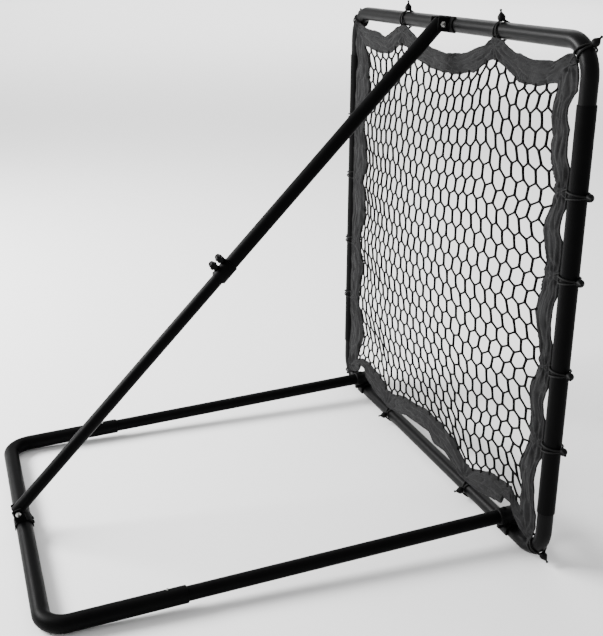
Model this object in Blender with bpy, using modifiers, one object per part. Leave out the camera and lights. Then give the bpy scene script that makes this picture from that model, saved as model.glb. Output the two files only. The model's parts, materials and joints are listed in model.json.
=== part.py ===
"""Pitch back rebounder, built piece by piece.

A square net frame stands on the front of a U-shaped base and is held up by a telescoping brace.
Units are metres. +Z is up, -Y is the side that the ball comes from, and +X is the right of a player who
faces the net. The origin is on the floor, under the middle of the base's rear bar.
"""
import math

import bmesh
import bpy
from mathutils import Matrix, Vector

# ---- Driving dimensions ---------------------------------------------------------------------------
FRAME_SIZE = 1.200          # square, between tube centre lines
BASE_LENGTH = 1.1645        # front bar to rear bar
FRAME_LEAN = 0.0162         # radians, the top towards the ball side
CORNER_BEND = 0.075         # centre-line radius of the frame's corners
BASE_BEND = 0.058           # centre-line radius of the base's corners
BEND_STEPS = 4

CORNER_TUBE_R = 0.019       # 38 mm tube
SIDE_TUBE_R = 0.021         # 42 mm sleeve
BASE_TUBE_R = 0.021         # 42 mm tube
ARM_TUBE_R = 0.0175         # 35 mm tube
LOWER_BRACE_R = 0.016       # 32 mm tube
UPPER_BRACE_R = 0.018       # 36 mm tube
TUBE_SIDES = 16
FACET = math.cos(math.pi / TUBE_SIDES)   # a facet's distance from the axis, for a radius of 1

CORNER_WALL = 0.0015
SIDE_WALL = 0.0016
BASE_WALL = 0.0031
ARM_WALL = 0.0018
LOWER_BRACE_WALL = 0.0016
UPPER_BRACE_WALL = 0.0008

SLEEVE_START = 0.125        # where the side tubes begin, from the bottom bar's axis
SLEEVE_END = 1.075
PLUG_LENGTH = 0.080         # how far a corner tube goes into its sleeve
ARM_X = 0.460               # the arms and the base's legs
ARM_RISE = 0.0416           # arm axis above the bottom bar's axis
SOCKET_LENGTH = 0.3245      # rear bar's axis to the mouths of the base's legs
ARM_PLUG = 0.100            # how far an arm goes into its leg

CORD_R = 0.0025
BALL_R = 0.009
TAIL_LENGTH = 0.010
LOOP_POINTS = 16
LOOP_TIP = 0.036            # tube axis to the band's eyelet
BAR_LOOP_X = 0.250
SIDE_LOOP_HEIGHTS = (0.296, 0.484, 0.701, 0.887)

BAND_Y = 0.015              # the band lies this far behind the frame's plane
BAND_THICKNESS = 0.005
NET_GAP = 0.0054            # band's inner edge to the net's outer strand
NET_STRAND = 0.004
NET_COLUMNS = 10
NET_ROWS = 12
NET_BULGE = 0.045

GAP = 0.0003                # between pieces that touch
WELD = 0.00001

# ---- Placing ------------------------------------------------------------------------------------
CORD_BELOW_BAR = CORNER_TUBE_R + 0.0004 + 2 * CORD_R - 0.0005
FRONT_BAR_Z = CORD_BELOW_BAR         # the front bar stands on its two cords, which are flat below
REAR_BAR_Z = BASE_TUBE_R * FACET
BAR_SPAN = math.hypot(BASE_LENGTH, FRONT_BAR_Z - REAR_BAR_Z)
BASE_SLOPE = math.asin(ARM_RISE / BAR_SPAN) + math.atan2(FRONT_BAR_Z - REAR_BAR_Z, BASE_LENGTH)
FRONT_Y_IN_BASE = -math.sqrt(BAR_SPAN ** 2 - ARM_RISE ** 2)

FRAME_MATRIX = Matrix.Translation((0, -BASE_LENGTH, FRONT_BAR_Z)) @ Matrix.Rotation(FRAME_LEAN, 4, "X")
BASE_MATRIX = Matrix.Translation((0, 0, REAR_BAR_Z)) @ Matrix.Rotation(-BASE_SLOPE, 4, "X")
TOP_PIVOT_IN_FRAME = Vector((0, 0.0355, FRAME_SIZE + 0.0013))
LOW_PIVOT_IN_BASE = Vector((0, 0.0104, 0.0423))
TOP_PIVOT = FRAME_MATRIX @ TOP_PIVOT_IN_FRAME
LOW_PIVOT = BASE_MATRIX @ LOW_PIVOT_IN_BASE
BRACE_LENGTH = (TOP_PIVOT - LOW_PIVOT).length
BRACE_RISE = math.atan2(TOP_PIVOT.z - LOW_PIVOT.z, LOW_PIVOT.y - TOP_PIVOT.y)
BRACE_TURN = math.pi / 2 - BRACE_RISE

STEEL = ("black_powder_coat", (0.012, 0.012, 0.013), 0.38, 0.0)
PLASTIC = ("black_plastic", (0.010, 0.010, 0.010), 0.55, 0.0)
ZINC = ("zinc_plate", (0.62, 0.62, 0.60), 0.32, 1.0)
FABRIC = ("grey_fabric", (0.050, 0.050, 0.052), 0.90, 0.0)
TWINE = ("black_twine", (0.014, 0.014, 0.014), 0.85, 0.0)
ELASTIC = ("black_elastic", (0.012, 0.012, 0.012), 0.75, 0.0)


def clear_scene():
    for obj in list(bpy.data.objects):
        bpy.data.objects.remove(obj, do_unlink=True)


def new_collection(name):
    collection = bpy.data.collections.new(name)
    bpy.context.scene.collection.children.link(collection)
    return collection


def material(piece, finish):
    """A piece's own material, in one of the finishes above."""
    label, colour, roughness, metallic = finish
    made = bpy.data.materials.new(f"{piece}_{label}")
    made.use_nodes = True
    shader = made.node_tree.nodes["Principled BSDF"]
    shader.inputs["Base Color"].default_value = (*colour, 1.0)
    shader.inputs["Roughness"].default_value = roughness
    shader.inputs["Metallic"].default_value = metallic
    made.diffuse_color = (*colour, 1.0)
    return made


def empty(name, matrix):
    obj = bpy.data.objects.new(name, None)
    PARTS.objects.link(obj)
    obj.matrix_world = matrix
    return obj


def place(name, data, parent, matrix=None):
    """Link a new object under its parent; the matrix is in the parent's axes."""
    obj = bpy.data.objects.new(name, data)
    PARTS.objects.link(obj)
    obj.parent = parent
    obj.matrix_basis = matrix or Matrix.Identity(4)
    return obj


SMOOTH_ANGLE = math.radians(35)


def finish(obj, look):
    """Give a piece its material and smooth shading."""
    obj.data.materials.clear()
    obj.data.materials.append(material(obj.name, look))
    if obj.type == "MESH":
        obj.data.shade_smooth()
        obj.data.set_sharp_from_angle(angle=SMOOTH_ANGLE)
    return obj


def poly_curve(name, points, radius, sides, parent, tilt=0.0, closed=False, caps=True):
    """A round rod along a run of points; the tilt turns its facets."""
    curve = bpy.data.curves.new(name, "CURVE")
    curve.dimensions = "3D"
    curve.bevel_depth = radius
    curve.bevel_resolution = sides // 2 - 2
    curve.use_fill_caps = caps
    spline = curve.splines.new("POLY")
    spline.points.add(len(points) - 1)
    for spot, point in zip(spline.points, points):
        spot.co = (*point, 1.0)
        spot.tilt = tilt
    spline.use_cyclic_u = closed
    return place(name, curve, parent)


def bake(obj):
    """Swap an object for a plain mesh of its evaluated shape, with its seams welded."""
    bpy.context.view_layer.update()
    evaluated = obj.evaluated_get(bpy.context.evaluated_depsgraph_get())
    mesh = bpy.data.meshes.new_from_object(evaluated)
    work = bmesh.new()
    work.from_mesh(mesh)
    bmesh.ops.remove_doubles(work, verts=work.verts, dist=WELD)
    work.to_mesh(mesh)
    work.free()
    name = obj.name
    parent = obj.parent
    world = obj.matrix_world.copy()
    bpy.data.objects.remove(obj, do_unlink=True)
    made = bpy.data.objects.new(name, mesh)
    mesh.name = name
    PARTS.objects.link(made)
    made.parent = parent
    bpy.context.view_layer.update()
    made.matrix_world = world
    return made


def face_out(obj):
    """Turn a closed body's faces outwards."""
    work = bmesh.new()
    work.from_mesh(obj.data)
    bmesh.ops.recalc_face_normals(work, faces=work.faces)
    if work.calc_volume(signed=True) < 0:
        bmesh.ops.reverse_faces(work, faces=work.faces)
    work.to_mesh(obj.data)
    work.free()
    return obj


def pipe(name, points, radius, wall, parent, tilt=0.0):
    """A hollow tube: an open rod surface, thickened inwards."""
    obj = poly_curve(name, points, radius, TUBE_SIDES, parent, tilt=tilt, caps=False)
    solidify = obj.modifiers.new("wall", "SOLIDIFY")
    solidify.thickness = wall
    solidify.offset = -1
    solidify.use_even_offset = True
    return bake(obj)


def bmesh_object(name, work, parent, matrix=None):
    mesh = bpy.data.meshes.new(name)
    work.to_mesh(mesh)
    work.free()
    return place(name, mesh, parent, matrix)


def cylinder(name, radius, length, sides, parent, matrix, top_radius=None):
    """A cylinder or cone along its own Z, centred on the matrix."""
    work = bmesh.new()
    bmesh.ops.create_cone(work, cap_ends=True, segments=sides, radius1=radius,
                          radius2=radius if top_radius is None else top_radius, depth=length)
    return bmesh_object(name, work, parent, matrix)


def box(name, size, parent, matrix):
    work = bmesh.new()
    bmesh.ops.create_cube(work, size=1.0, matrix=Matrix.Diagonal((*size, 1.0)))
    return bmesh_object(name, work, parent, matrix)


def plate(name, outline, thickness, parent, matrix):
    """A flat outline, thickened evenly about its own XY plane."""
    curve = bpy.data.curves.new(name, "CURVE")
    curve.dimensions = "2D"
    curve.fill_mode = "BOTH"
    curve.extrude = thickness / 2
    spline = curve.splines.new("POLY")
    spline.points.add(len(outline) - 1)
    for spot, point in zip(spline.points, outline):
        spot.co = (point[0], point[1], 0.0, 1.0)
    spline.use_cyclic_u = True
    return bake(place(name, curve, parent, matrix))


def turned(name, profile, steps, parent, matrix):
    """A solid turned about Z from a profile that runs down its outer side, from axis to axis."""
    work = bmesh.new()
    spots = [work.verts.new((radius, 0, height)) for radius, height in profile]
    for first, second in zip(spots, spots[1:]):
        work.edges.new((first, second))
    obj = bmesh_object(name, work, parent, matrix)
    screw = obj.modifiers.new("turn", "SCREW")
    screw.steps = steps
    screw.render_steps = steps
    screw.use_merge_vertices = True
    screw.merge_threshold = WELD
    return bake(obj)


def boolean(obj, other, operation):
    """Cut or join one object with another, which is used up."""
    modifier = obj.modifiers.new(operation.lower(), "BOOLEAN")
    modifier.operation = operation
    modifier.solver = "EXACT"
    modifier.object = other
    made = bake(obj)
    bpy.data.objects.remove(other, do_unlink=True)
    return made


def take_name(obj, other):
    """Let an object carry another's name, as the other is about to be used up in a joint."""
    name = other.name
    other.name = "joined"
    obj.name = name
    return obj


def along_x(x=0.0, y=0.0, z=0.0):
    """A matrix whose Z axis is the parent's X axis."""
    return Matrix.Translation((x, y, z)) @ Matrix.Rotation(math.pi / 2, 4, "Y")


def along_y(x=0.0, y=0.0, z=0.0):
    """A matrix whose Z axis is the parent's -Y axis."""
    return Matrix.Translation((x, y, z)) @ Matrix.Rotation(math.pi / 2, 4, "X")


def drill(obj, radius, length, matrix, sides=12):
    """Cut a straight hole; the matrix is in the axes of the piece's parent."""
    return boolean(obj, cylinder("drill", radius, length, sides, obj.parent, matrix), "DIFFERENCE")


def arc(centre, radius, start, stop, steps):
    """Points on an arc, in degrees, from start to stop."""
    spots = []
    for step in range(steps + 1):
        angle = math.radians(start + (stop - start) * step / steps)
        spots.append((centre[0] + radius * math.cos(angle), centre[1] + radius * math.sin(angle)))
    return spots


# ---- Net frame ----------------------------------------------------------------------------------
def frame_u(name, at_top, net_frame):
    """A bar with two bent corners, whose legs plug into the side tubes."""
    half = FRAME_SIZE / 2
    bar = FRAME_SIZE if at_top else 0.0
    inward = -1 if at_top else 1
    leg_end = SLEEVE_END - PLUG_LENGTH if at_top else SLEEVE_START + PLUG_LENGTH
    bend_x = half - CORNER_BEND
    bend = (bend_x, bar + inward * CORNER_BEND)
    right = [(half, leg_end)] + arc(bend, CORNER_BEND, 0, -90 * inward, BEND_STEPS)
    flat = right + [(-x, z) for x, z in reversed(right)]
    points = [(x, 0.0, z) for x, z in flat]
    facet_down = math.pi / TUBE_SIDES
    return pipe(name, points, CORNER_TUBE_R, CORNER_WALL, net_frame, tilt=facet_down)


def side_tube(name, side, net_frame):
    points = [(side * FRAME_SIZE / 2, 0, SLEEVE_START), (side * FRAME_SIZE / 2, 0, SLEEVE_END)]
    return pipe(name, points, SIDE_TUBE_R, SIDE_WALL, net_frame, tilt=math.pi / TUBE_SIDES)


FRAME_SCREW_INSET = 0.032   # screw to the end of the side tube
SCREW_SHANK_R = 0.0024
SCREW_HEAD_R = 0.0048


def pan_screw(name, length, parent, matrix):
    """A pan-head screw whose head sits on its matrix's XY plane and whose shank goes down -Z."""
    head = 0.0028
    profile = [(0, head), (SCREW_HEAD_R * 0.6, head), (SCREW_HEAD_R, head * 0.4), (SCREW_HEAD_R, 0),
               (SCREW_SHANK_R, 0), (SCREW_SHANK_R, -length), (0, -length)]
    return finish(turned(name, profile, 8, parent, matrix), ZINC)


def make_net_frame(net_frame):
    top = frame_u("top_corner_tube", True, net_frame)
    bottom = frame_u("bottom_corner_tube", False, net_frame)
    for side_name, side in (("left", -1), ("right", 1)):
        tube = side_tube(f"{side_name}_side_tube", side, net_frame)
        for level, height in (("lower", SLEEVE_START + FRAME_SCREW_INSET), ("upper", SLEEVE_END - FRAME_SCREW_INSET)):
            hole = along_y(side * FRAME_SIZE / 2, -SIDE_TUBE_R, height)
            depth = 0.012
            tube = drill(tube, SCREW_SHANK_R + GAP, 2 * depth, hole)
            if level == "upper":
                top = drill(top, SCREW_SHANK_R + GAP, 2 * depth, hole)
            else:
                bottom = drill(bottom, SCREW_SHANK_R + GAP, 2 * depth, hole)
            seat = along_y(side * FRAME_SIZE / 2, -SIDE_TUBE_R - GAP, height)
            pan_screw(f"{side_name}_{level}_frame_screw", 0.008, net_frame, seat)
        finish(tube, STEEL)
    finish(drill_bracket_holes(top, TOP_SADDLE), STEEL)
    finish(bottom, STEEL)


# ---- Brackets -----------------------------------------------------------------------------------
PIVOT_R = 0.004
EAR_THICKNESS = 0.003
SADDLE_THICKNESS = 0.003
BRACKET_SCREW_DEPTH = 0.009

EAR_CORNER = 0.004

# Each saddle: bar centre and radius in its parent's (y, z), the side that it faces in degrees from +y, how far
# it wraps either way, its half width, the pivot, the ears' inner faces, how far they reach beyond the pivot and
# to its sides, and the screws' places along X and round the bar.
TOP_SADDLE = {"centre": (0.0, FRAME_SIZE), "radius": CORNER_TUBE_R, "faces": 0, "wrap": 65, "half_width": 0.042,
              "pivot": TOP_PIVOT_IN_FRAME, "ear": UPPER_BRACE_R + 0.0005, "ear_top": 0.012, "ear_half": 0.0175,
              "screw_x": 0.032, "screw_faces": 0}
LOW_SADDLE = {"centre": (0.0, 0.0), "radius": BASE_TUBE_R, "faces": 90, "wrap": 95, "half_width": 0.0235,
              "pivot": LOW_PIVOT_IN_BASE, "ear": LOWER_BRACE_R + 0.0006, "ear_top": 0.0115, "ear_half": 0.0140,
              "screw_x": 0.010, "screw_faces": 168}


def saddle_frame(x, y, z):
    """A matrix whose XY plane is the parent's YZ plane, so that outlines are drawn in (y, z)."""
    return Matrix(((0, 0, 1, x), (1, 0, 0, y), (0, 1, 0, z), (0, 0, 0, 1)))


def screw_seat(saddle, x):
    """The place of a fixing screw, with its Z axis out of the saddle."""
    angle = math.radians(saddle["screw_faces"])
    out = Vector((0, math.cos(angle), math.sin(angle)))
    reach = saddle["radius"] + 0.0004 + SADDLE_THICKNESS
    spot = Vector((x, *saddle["centre"])) + out * (reach + GAP)
    return Matrix.Translation(spot) @ out.to_track_quat("Z", "Y").to_matrix().to_4x4()


def drill_bracket_holes(tube, saddle):
    for x in (-saddle["screw_x"], saddle["screw_x"]):
        tube = drill(tube, SCREW_SHANK_R + GAP, 0.030, screw_seat(saddle, x))
    return tube


def bracket(name, saddle, parent, look):
    """A saddle bent round the bar, with two ears that carry the brace's pivot bolt."""
    inner = saddle["radius"] + 0.0004
    outer = inner + SADDLE_THICKNESS
    first = saddle["faces"] - saddle["wrap"]
    last = saddle["faces"] + saddle["wrap"]
    steps = 10
    outline = arc(saddle["centre"], outer, first, last, steps) + arc(saddle["centre"], inner, last, first, steps)
    body = plate(name, outline, 2 * saddle["half_width"], parent, saddle_frame(0, 0, 0))
    pivot = (saddle["pivot"].y, saddle["pivot"].z)
    from_bar = math.degrees(math.atan2(pivot[1] - saddle["centre"][1], pivot[0] - saddle["centre"][0]))
    foot = (inner + outer) / 2
    spread = math.degrees(math.asin(saddle["ear_half"] / foot))
    ear_outline = arc(saddle["centre"], foot, from_bar + spread, from_bar - spread, 8)
    beyond = Matrix.Rotation(math.radians(from_bar), 2)
    top, half = saddle["ear_top"], saddle["ear_half"]
    for along, across in ((top - EAR_CORNER, -half), (top, EAR_CORNER - half), (top, half - EAR_CORNER),
                          (top - EAR_CORNER, half)):
        ear_outline.append(tuple(Vector(pivot) + beyond @ Vector((along, across))))
    for side in (-1, 1):
        x = side * (saddle["ear"] + EAR_THICKNESS / 2)
        ear = plate("ear", ear_outline, EAR_THICKNESS, parent, saddle_frame(x, 0, 0))
        body = boolean(body, ear, "UNION")
    body = drill(body, PIVOT_R + GAP, 0.060, along_x(0, *pivot), sides=16)
    body = drill_bracket_holes(body, saddle)
    return finish(body, look)


def hex_prism(name, across_flats, length, parent, matrix):
    return cylinder(name, across_flats / math.sqrt(3), length, 6, parent, matrix)


def pivot_fasteners(prefix, saddle, parent):
    """A hex bolt through both ears, head on the left, with its nut on the right."""
    y, z = saddle["pivot"].y, saddle["pivot"].z
    face = saddle["ear"] + EAR_THICKNESS + GAP
    head_height = 0.0053
    nut_height = 0.0065
    end = face + nut_height + 0.0025
    root = -face - head_height / 2
    shank = cylinder(f"{prefix}_pivot_bolt", PIVOT_R, end - root, 12, parent, along_x((end + root) / 2, y, z))
    head = hex_prism("head", 0.013, head_height, parent, along_x(-face - head_height / 2, y, z))
    finish(boolean(take_name(head, shank), shank, "UNION"), ZINC)
    nut = hex_prism(f"{prefix}_pivot_nut", 0.013, nut_height, parent, along_x(face + nut_height / 2, y, z))
    finish(drill(nut, PIVOT_R + GAP, 0.02, along_x(face, y, z), sides=12), ZINC)


def make_brackets(net_frame, base):
    bracket("top_bracket", TOP_SADDLE, net_frame, STEEL)
    pivot_fasteners("top", TOP_SADDLE, net_frame)
    bracket("lower_bracket", LOW_SADDLE, base, STEEL)
    pivot_fasteners("lower", LOW_SADDLE, base)
    for prefix, saddle, parent in (("top", TOP_SADDLE, net_frame), ("lower", LOW_SADDLE, base)):
        for side_name, x in (("left", -saddle["screw_x"]), ("right", saddle["screw_x"])):
            pan_screw(f"{prefix}_bracket_{side_name}_screw", BRACKET_SCREW_DEPTH, parent, screw_seat(saddle, x))


# ---- Base ---------------------------------------------------------------------------------------
BUTTON_R = 0.0035
BUTTON_BACK = 0.0440        # button behind the mouth of the leg
BUTTON_TURN = math.radians(12)   # leant towards the middle of the base
BUTTON_TOP = BASE_TUBE_R + 0.0035
BUTTON_FOOT = 0.0105


def button_matrix(side, out):
    """A place on the button's line, with Z pointing out of the tube."""
    turn = Matrix.Rotation(-side * BUTTON_TURN, 4, "Y")
    foot = Matrix.Translation((side * ARM_X, -SOCKET_LENGTH + BUTTON_BACK, 0))
    return foot @ turn @ Matrix.Translation((0, 0, out))


def make_rear_tube(base):
    bend = (ARM_X - BASE_BEND, -BASE_BEND)
    right = [(ARM_X, -SOCKET_LENGTH)] + arc(bend, BASE_BEND, 0, 90, BEND_STEPS)
    flat = right + [(-x, y) for x, y in reversed(right)]
    tube = pipe("rear_base_tube", [(x, y, 0.0) for x, y in flat], BASE_TUBE_R, BASE_WALL, base,
                tilt=math.pi / TUBE_SIDES - BASE_SLOPE)
    for side in (-1, 1):
        tube = drill(tube, BUTTON_R + GAP, 0.014, button_matrix(side, BASE_TUBE_R))
    finish(drill_bracket_holes(tube, LOW_SADDLE), STEEL)


def make_arm(side_name, side, base):
    """The straight arm, its spring button, the leaf spring behind it and the hook on its front end."""
    front = FRONT_Y_IN_BASE - 0.0170
    rear = -SOCKET_LENGTH + ARM_PLUG
    arm = pipe(f"{side_name}_base_arm", [(side * ARM_X, front, 0), (side * ARM_X, rear, 0)], ARM_TUBE_R, ARM_WALL, base,
               tilt=math.pi / TUBE_SIDES)
    arm = drill(arm, BUTTON_R + GAP, 0.014, button_matrix(side, ARM_TUBE_R))
    arm = drill(arm, HOOK_BOLT_R + GAP, 0.014, hook_bolt_seat(side, ARM_TUBE_R))
    finish(arm, STEEL)
    length = BUTTON_TOP - BUTTON_FOOT
    flange = 0.0015
    profile = [(0, length), (BUTTON_R * 0.55, length - 0.0004), (BUTTON_R * 0.9, length - 0.0016),
               (BUTTON_R, length - 0.0030), (BUTTON_R, flange), (BUTTON_R * 1.45, flange), (BUTTON_R * 1.45, 0), (0, 0)]
    button = turned(f"{side_name}_snap_button", profile, 12, base, button_matrix(side, BUTTON_FOOT))
    finish(button, ZINC)
    make_leaf_spring(side_name, side, base)


def make_leaf_spring(side_name, side, base):
    """A bent leaf inside the arm: one leaf under the button, the other on the tube's far wall."""
    thickness = 0.0009
    width = 0.009
    leaf = 0.040
    bottom = -ARM_TUBE_R * FACET + ARM_WALL + 0.0012
    top = BUTTON_FOOT - GAP
    middle = (top + bottom) / 2
    bow = (top - bottom - thickness) / 2
    outer = [(-leaf * 0.75, top), (0.006, top)] + arc((0.006, middle), bow + thickness / 2, 90, -90, 6)
    outer += [(-leaf * 0.75, bottom)]
    inner = [(-leaf * 0.75, bottom + thickness)] + arc((0.006, middle), bow - thickness / 2, -90, 90, 6)
    inner += [(-leaf * 0.75, top - thickness)]
    outline = outer + inner
    seat = button_matrix(side, 0.0) @ saddle_frame(0, 0, 0)
    finish(plate(f"{side_name}_button_spring", outline, width, base, seat), ZINC)


# ---- Hooks on the arms' front ends --------------------------------------------------------------
HOOK_BOLT_R = 0.003
HOOK_R = 0.0209
HOOK_BACK = 0.038           # length of the socket behind the bottom bar's axis
HOOK_FRONT = 0.0215
CLIP_WIDTH = 0.034
CLIP_INNER_R = 0.0196
CLIP_OUTER_R = 0.0245
CLIP_OPEN_BELOW = 0.0085    # the clip is cut off this far below the bar's axis


def hook_bolt_seat(side, out):
    return Matrix.Translation((side * ARM_X, FRONT_Y_IN_BASE + 0.020, out))


def make_hook(side_name, side, base):
    """A plastic cup over the arm's end that sits on the bottom bar and hugs it from above."""
    x = side * ARM_X
    y = FRONT_Y_IN_BASE
    length = HOOK_BACK + HOOK_FRONT
    profile = [(0, length), (HOOK_R * 0.70, length - 0.0004), (HOOK_R * 0.92, length - 0.0016),
               (HOOK_R, length - 0.0038), (HOOK_R, 0), (0, 0)]
    cup = turned(f"{side_name}_arm_hook", profile, 16, base, along_y(x, y + HOOK_BACK, 0))
    clip = cylinder("clip", CLIP_OUTER_R, CLIP_WIDTH, TUBE_SIDES, base, along_x(x, y, -ARM_RISE))
    cup = boolean(cup, clip, "UNION")
    cup = drill(cup, CLIP_INNER_R, CLIP_WIDTH * 2, along_x(x, y, -ARM_RISE), sides=TUBE_SIDES)
    below = box("below", (CLIP_WIDTH * 2, 0.08, 0.04), base,
                Matrix.Translation((x, y, -ARM_RISE - CLIP_OPEN_BELOW - 0.02)))
    cup = boolean(cup, below, "DIFFERENCE")
    bore_front = y - 0.0175
    bore_length = HOOK_BACK + 0.0175 + 0.02
    bore = along_y(x, bore_front + bore_length / 2, 0)
    cup = drill(cup, (ARM_TUBE_R + GAP) / FACET, bore_length, bore, sides=TUBE_SIDES)
    cup = drill(cup, HOOK_BOLT_R + GAP, 0.014, hook_bolt_seat(side, HOOK_R))
    finish(cup, PLASTIC)
    head = 0.0032
    profile = [(0, head), (0.0035, head * 0.9), (0.0058, head * 0.4), (0.0062, 0), (HOOK_BOLT_R, 0),
               (HOOK_BOLT_R, -0.0085), (0, -0.0085)]
    finish(turned(f"{side_name}_hook_bolt", profile, 8, base, hook_bolt_seat(side, HOOK_R + GAP)), STEEL)


# ---- Brace --------------------------------------------------------------------------------------
LOWER_TUBE_LENGTH = 1.070
MOUTH = 0.790               # the upper tube's mouth, from the lower pivot
COLLAR_START = 0.793
COLLAR_LENGTH = 0.050
COLLAR_INNER_R = 0.0184
COLLAR_OUTER_R = 0.0208
LUG_HALF = 0.0083           # half of each lug's width, and the radius of its rounded tip
SPLIT_X = 0.0012
LUG_INNER_X = 0.0015
LUG_OUTER_X = 0.0045
KNOB_DISTANCES = (0.810, 0.834)
KNOB_OUT = 0.0375           # stud's distance from the tube's axis
STUD_R = 0.003
KNOB_R = 0.0100
KNOB_LOBE = 0.0011
KNOB_LOBES = 6
COPE_R = 0.0232


def make_lower_tube(lower_brace):
    tube = pipe("lower_brace_tube", [(0, 0, -0.006), (0, 0, LOWER_TUBE_LENGTH)], LOWER_BRACE_R, LOWER_BRACE_WALL,
                lower_brace, tilt=math.pi / TUBE_SIDES)
    finish(drill(tube, PIVOT_R + GAP, 0.060, along_x(), sides=16), STEEL)


def make_upper_tube(upper_brace):
    """The outer tube, coped at the top to clear the top bar through the whole tilt."""
    tube = pipe("upper_brace_tube", [(0, 0, MOUTH - BRACE_LENGTH), (0, 0, 0.005)], UPPER_BRACE_R, UPPER_BRACE_WALL,
                upper_brace, tilt=math.pi / TUBE_SIDES)
    bar = Matrix.Rotation(-BRACE_TURN + FRAME_LEAN, 4, "X") @ (Vector((0, 0, FRAME_SIZE)) - TOP_PIVOT_IN_FRAME)
    for swing in (-6, 0, 6, 13):
        spot = Matrix.Rotation(math.radians(swing), 4, "X") @ bar
        tube = drill(tube, COPE_R, 0.060, along_x(0, spot.y, spot.z), sides=20)
    finish(drill(tube, PIVOT_R + GAP, 0.060, along_x(), sides=16), STEEL)


def make_collar(upper_brace):
    """A split ring with two pairs of lugs, each of which a knob pinches together."""
    split = math.degrees(math.asin(SPLIT_X / COLLAR_INNER_R))
    outer_split = math.degrees(math.asin(SPLIT_X / COLLAR_OUTER_R))
    outline = arc((0, 0), COLLAR_INNER_R, 90 + split, 450 - split, 16)
    outline += arc((0, 0), COLLAR_OUTER_R, 450 - outer_split, 90 + outer_split, 16)
    middle = COLLAR_START + COLLAR_LENGTH / 2 - BRACE_LENGTH
    collar = plate("clamp_collar", outline, COLLAR_LENGTH, upper_brace, Matrix.Translation((0, 0, middle)))
    root = (COLLAR_INNER_R + COLLAR_OUTER_R) / 2
    for distance in KNOB_DISTANCES:
        along = distance - BRACE_LENGTH
        lug_outline = arc((KNOB_OUT, along), LUG_HALF, -90, 90, 8) + [(root, along + LUG_HALF), (root, along - LUG_HALF)]
        for side in (-1, 1):
            seat = saddle_frame(side * (LUG_INNER_X + LUG_OUTER_X) / 2, 0, 0)
            lug = plate("lug", lug_outline, LUG_OUTER_X - LUG_INNER_X, upper_brace, seat)
            collar = boolean(collar, lug, "UNION")
    for distance in KNOB_DISTANCES:
        collar = drill(collar, STUD_R + GAP, 0.02, along_x(0, KNOB_OUT, distance - BRACE_LENGTH))
    finish(collar, STEEL)


def make_knob(name, knob_axis):
    """A star knob with its stud, whose axis is the parent's X axis."""
    face = -LUG_OUTER_X - GAP
    thickness = 0.0110
    hub = 0.0030
    outline = []
    for step in range(KNOB_LOBES * 4):
        angle = 2 * math.pi * step / (KNOB_LOBES * 4)
        reach = KNOB_R + KNOB_LOBE * math.cos(KNOB_LOBES * angle)
        outline.append((reach * math.cos(angle), reach * math.sin(angle)))
    knob = plate(name, outline, thickness, knob_axis, along_x(face - hub - thickness / 2))
    collar = cylinder("hub", 0.0060, hub + 0.001, 12, knob_axis, along_x(face - (hub + 0.001) / 2))
    knob = boolean(knob, collar, "UNION")
    dome = cylinder("dome", 0.0068, 0.0022, 12, knob_axis, along_x(face - hub - thickness - 0.0009), top_radius=0.0080)
    knob = boolean(knob, dome, "UNION")
    stud_end = LUG_OUTER_X + 0.0075
    stud_start = face - hub - 0.002
    stud = cylinder("stud", STUD_R, stud_end - stud_start, 10, knob_axis, along_x((stud_end + stud_start) / 2))
    finish(boolean(knob, stud, "UNION"), PLASTIC)


def make_knob_nut(name, distance, upper_brace):
    height = 0.0050
    seat = along_x(LUG_OUTER_X + GAP + height / 2, KNOB_OUT, distance - BRACE_LENGTH)
    nut = hex_prism(name, 0.010, height, upper_brace, seat)
    finish(drill(nut, STUD_R + GAP, 0.02, seat), ZINC)


def make_brace(lower_brace, upper_brace):
    make_lower_tube(lower_brace)
    make_upper_tube(upper_brace)
    make_collar(upper_brace)
    for label, distance in zip(("lower", "upper"), KNOB_DISTANCES):
        stud = upper_brace.matrix_world @ Matrix.Translation((0, KNOB_OUT, distance - BRACE_LENGTH))
        make_knob(f"{label}_star_knob", empty(f"{label}_knob_axis", stud))
        make_knob_nut(f"{label}_knob_nut", distance, upper_brace)


# ---- Band and net -------------------------------------------------------------------------------
# Along each side of the frame the band runs from corner to corner and is tied at its anchors. The numbers are the
# anchors' places along the side, the band edge's distance from the tube's axis there, and how much further it sags
# in the middle of each span. The inner edge's corners lie at another place than the outer edge's.
OUTER_CORNER = 0.033
INNER_CORNER = 0.092
HALF = FRAME_SIZE / 2
MITRE_GAP = 0.0003
COLUMN_WIDTH = 0.048
BAND_LANES = (0.0, 0.12, 0.42, 1.0)   # shares of its width, with the eyelets between the second and third
EYELET_HALF = 0.005
CORNER_NOTCH = 0.009
FOLD_LENGTH = 0.075
FOLD_DEPTH = 0.0035


def edge_line(corner, places, depths, sags):
    """An edge's spans, as (start, end, start depth, end depth, sag)."""
    end = HALF - corner - MITRE_GAP
    spots = [-end] + list(places) + [end]
    levels = [corner] + list(depths) + [corner]
    return [(spots[i], spots[i + 1], levels[i], levels[i + 1], sags[i]) for i in range(len(sags))]


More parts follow.
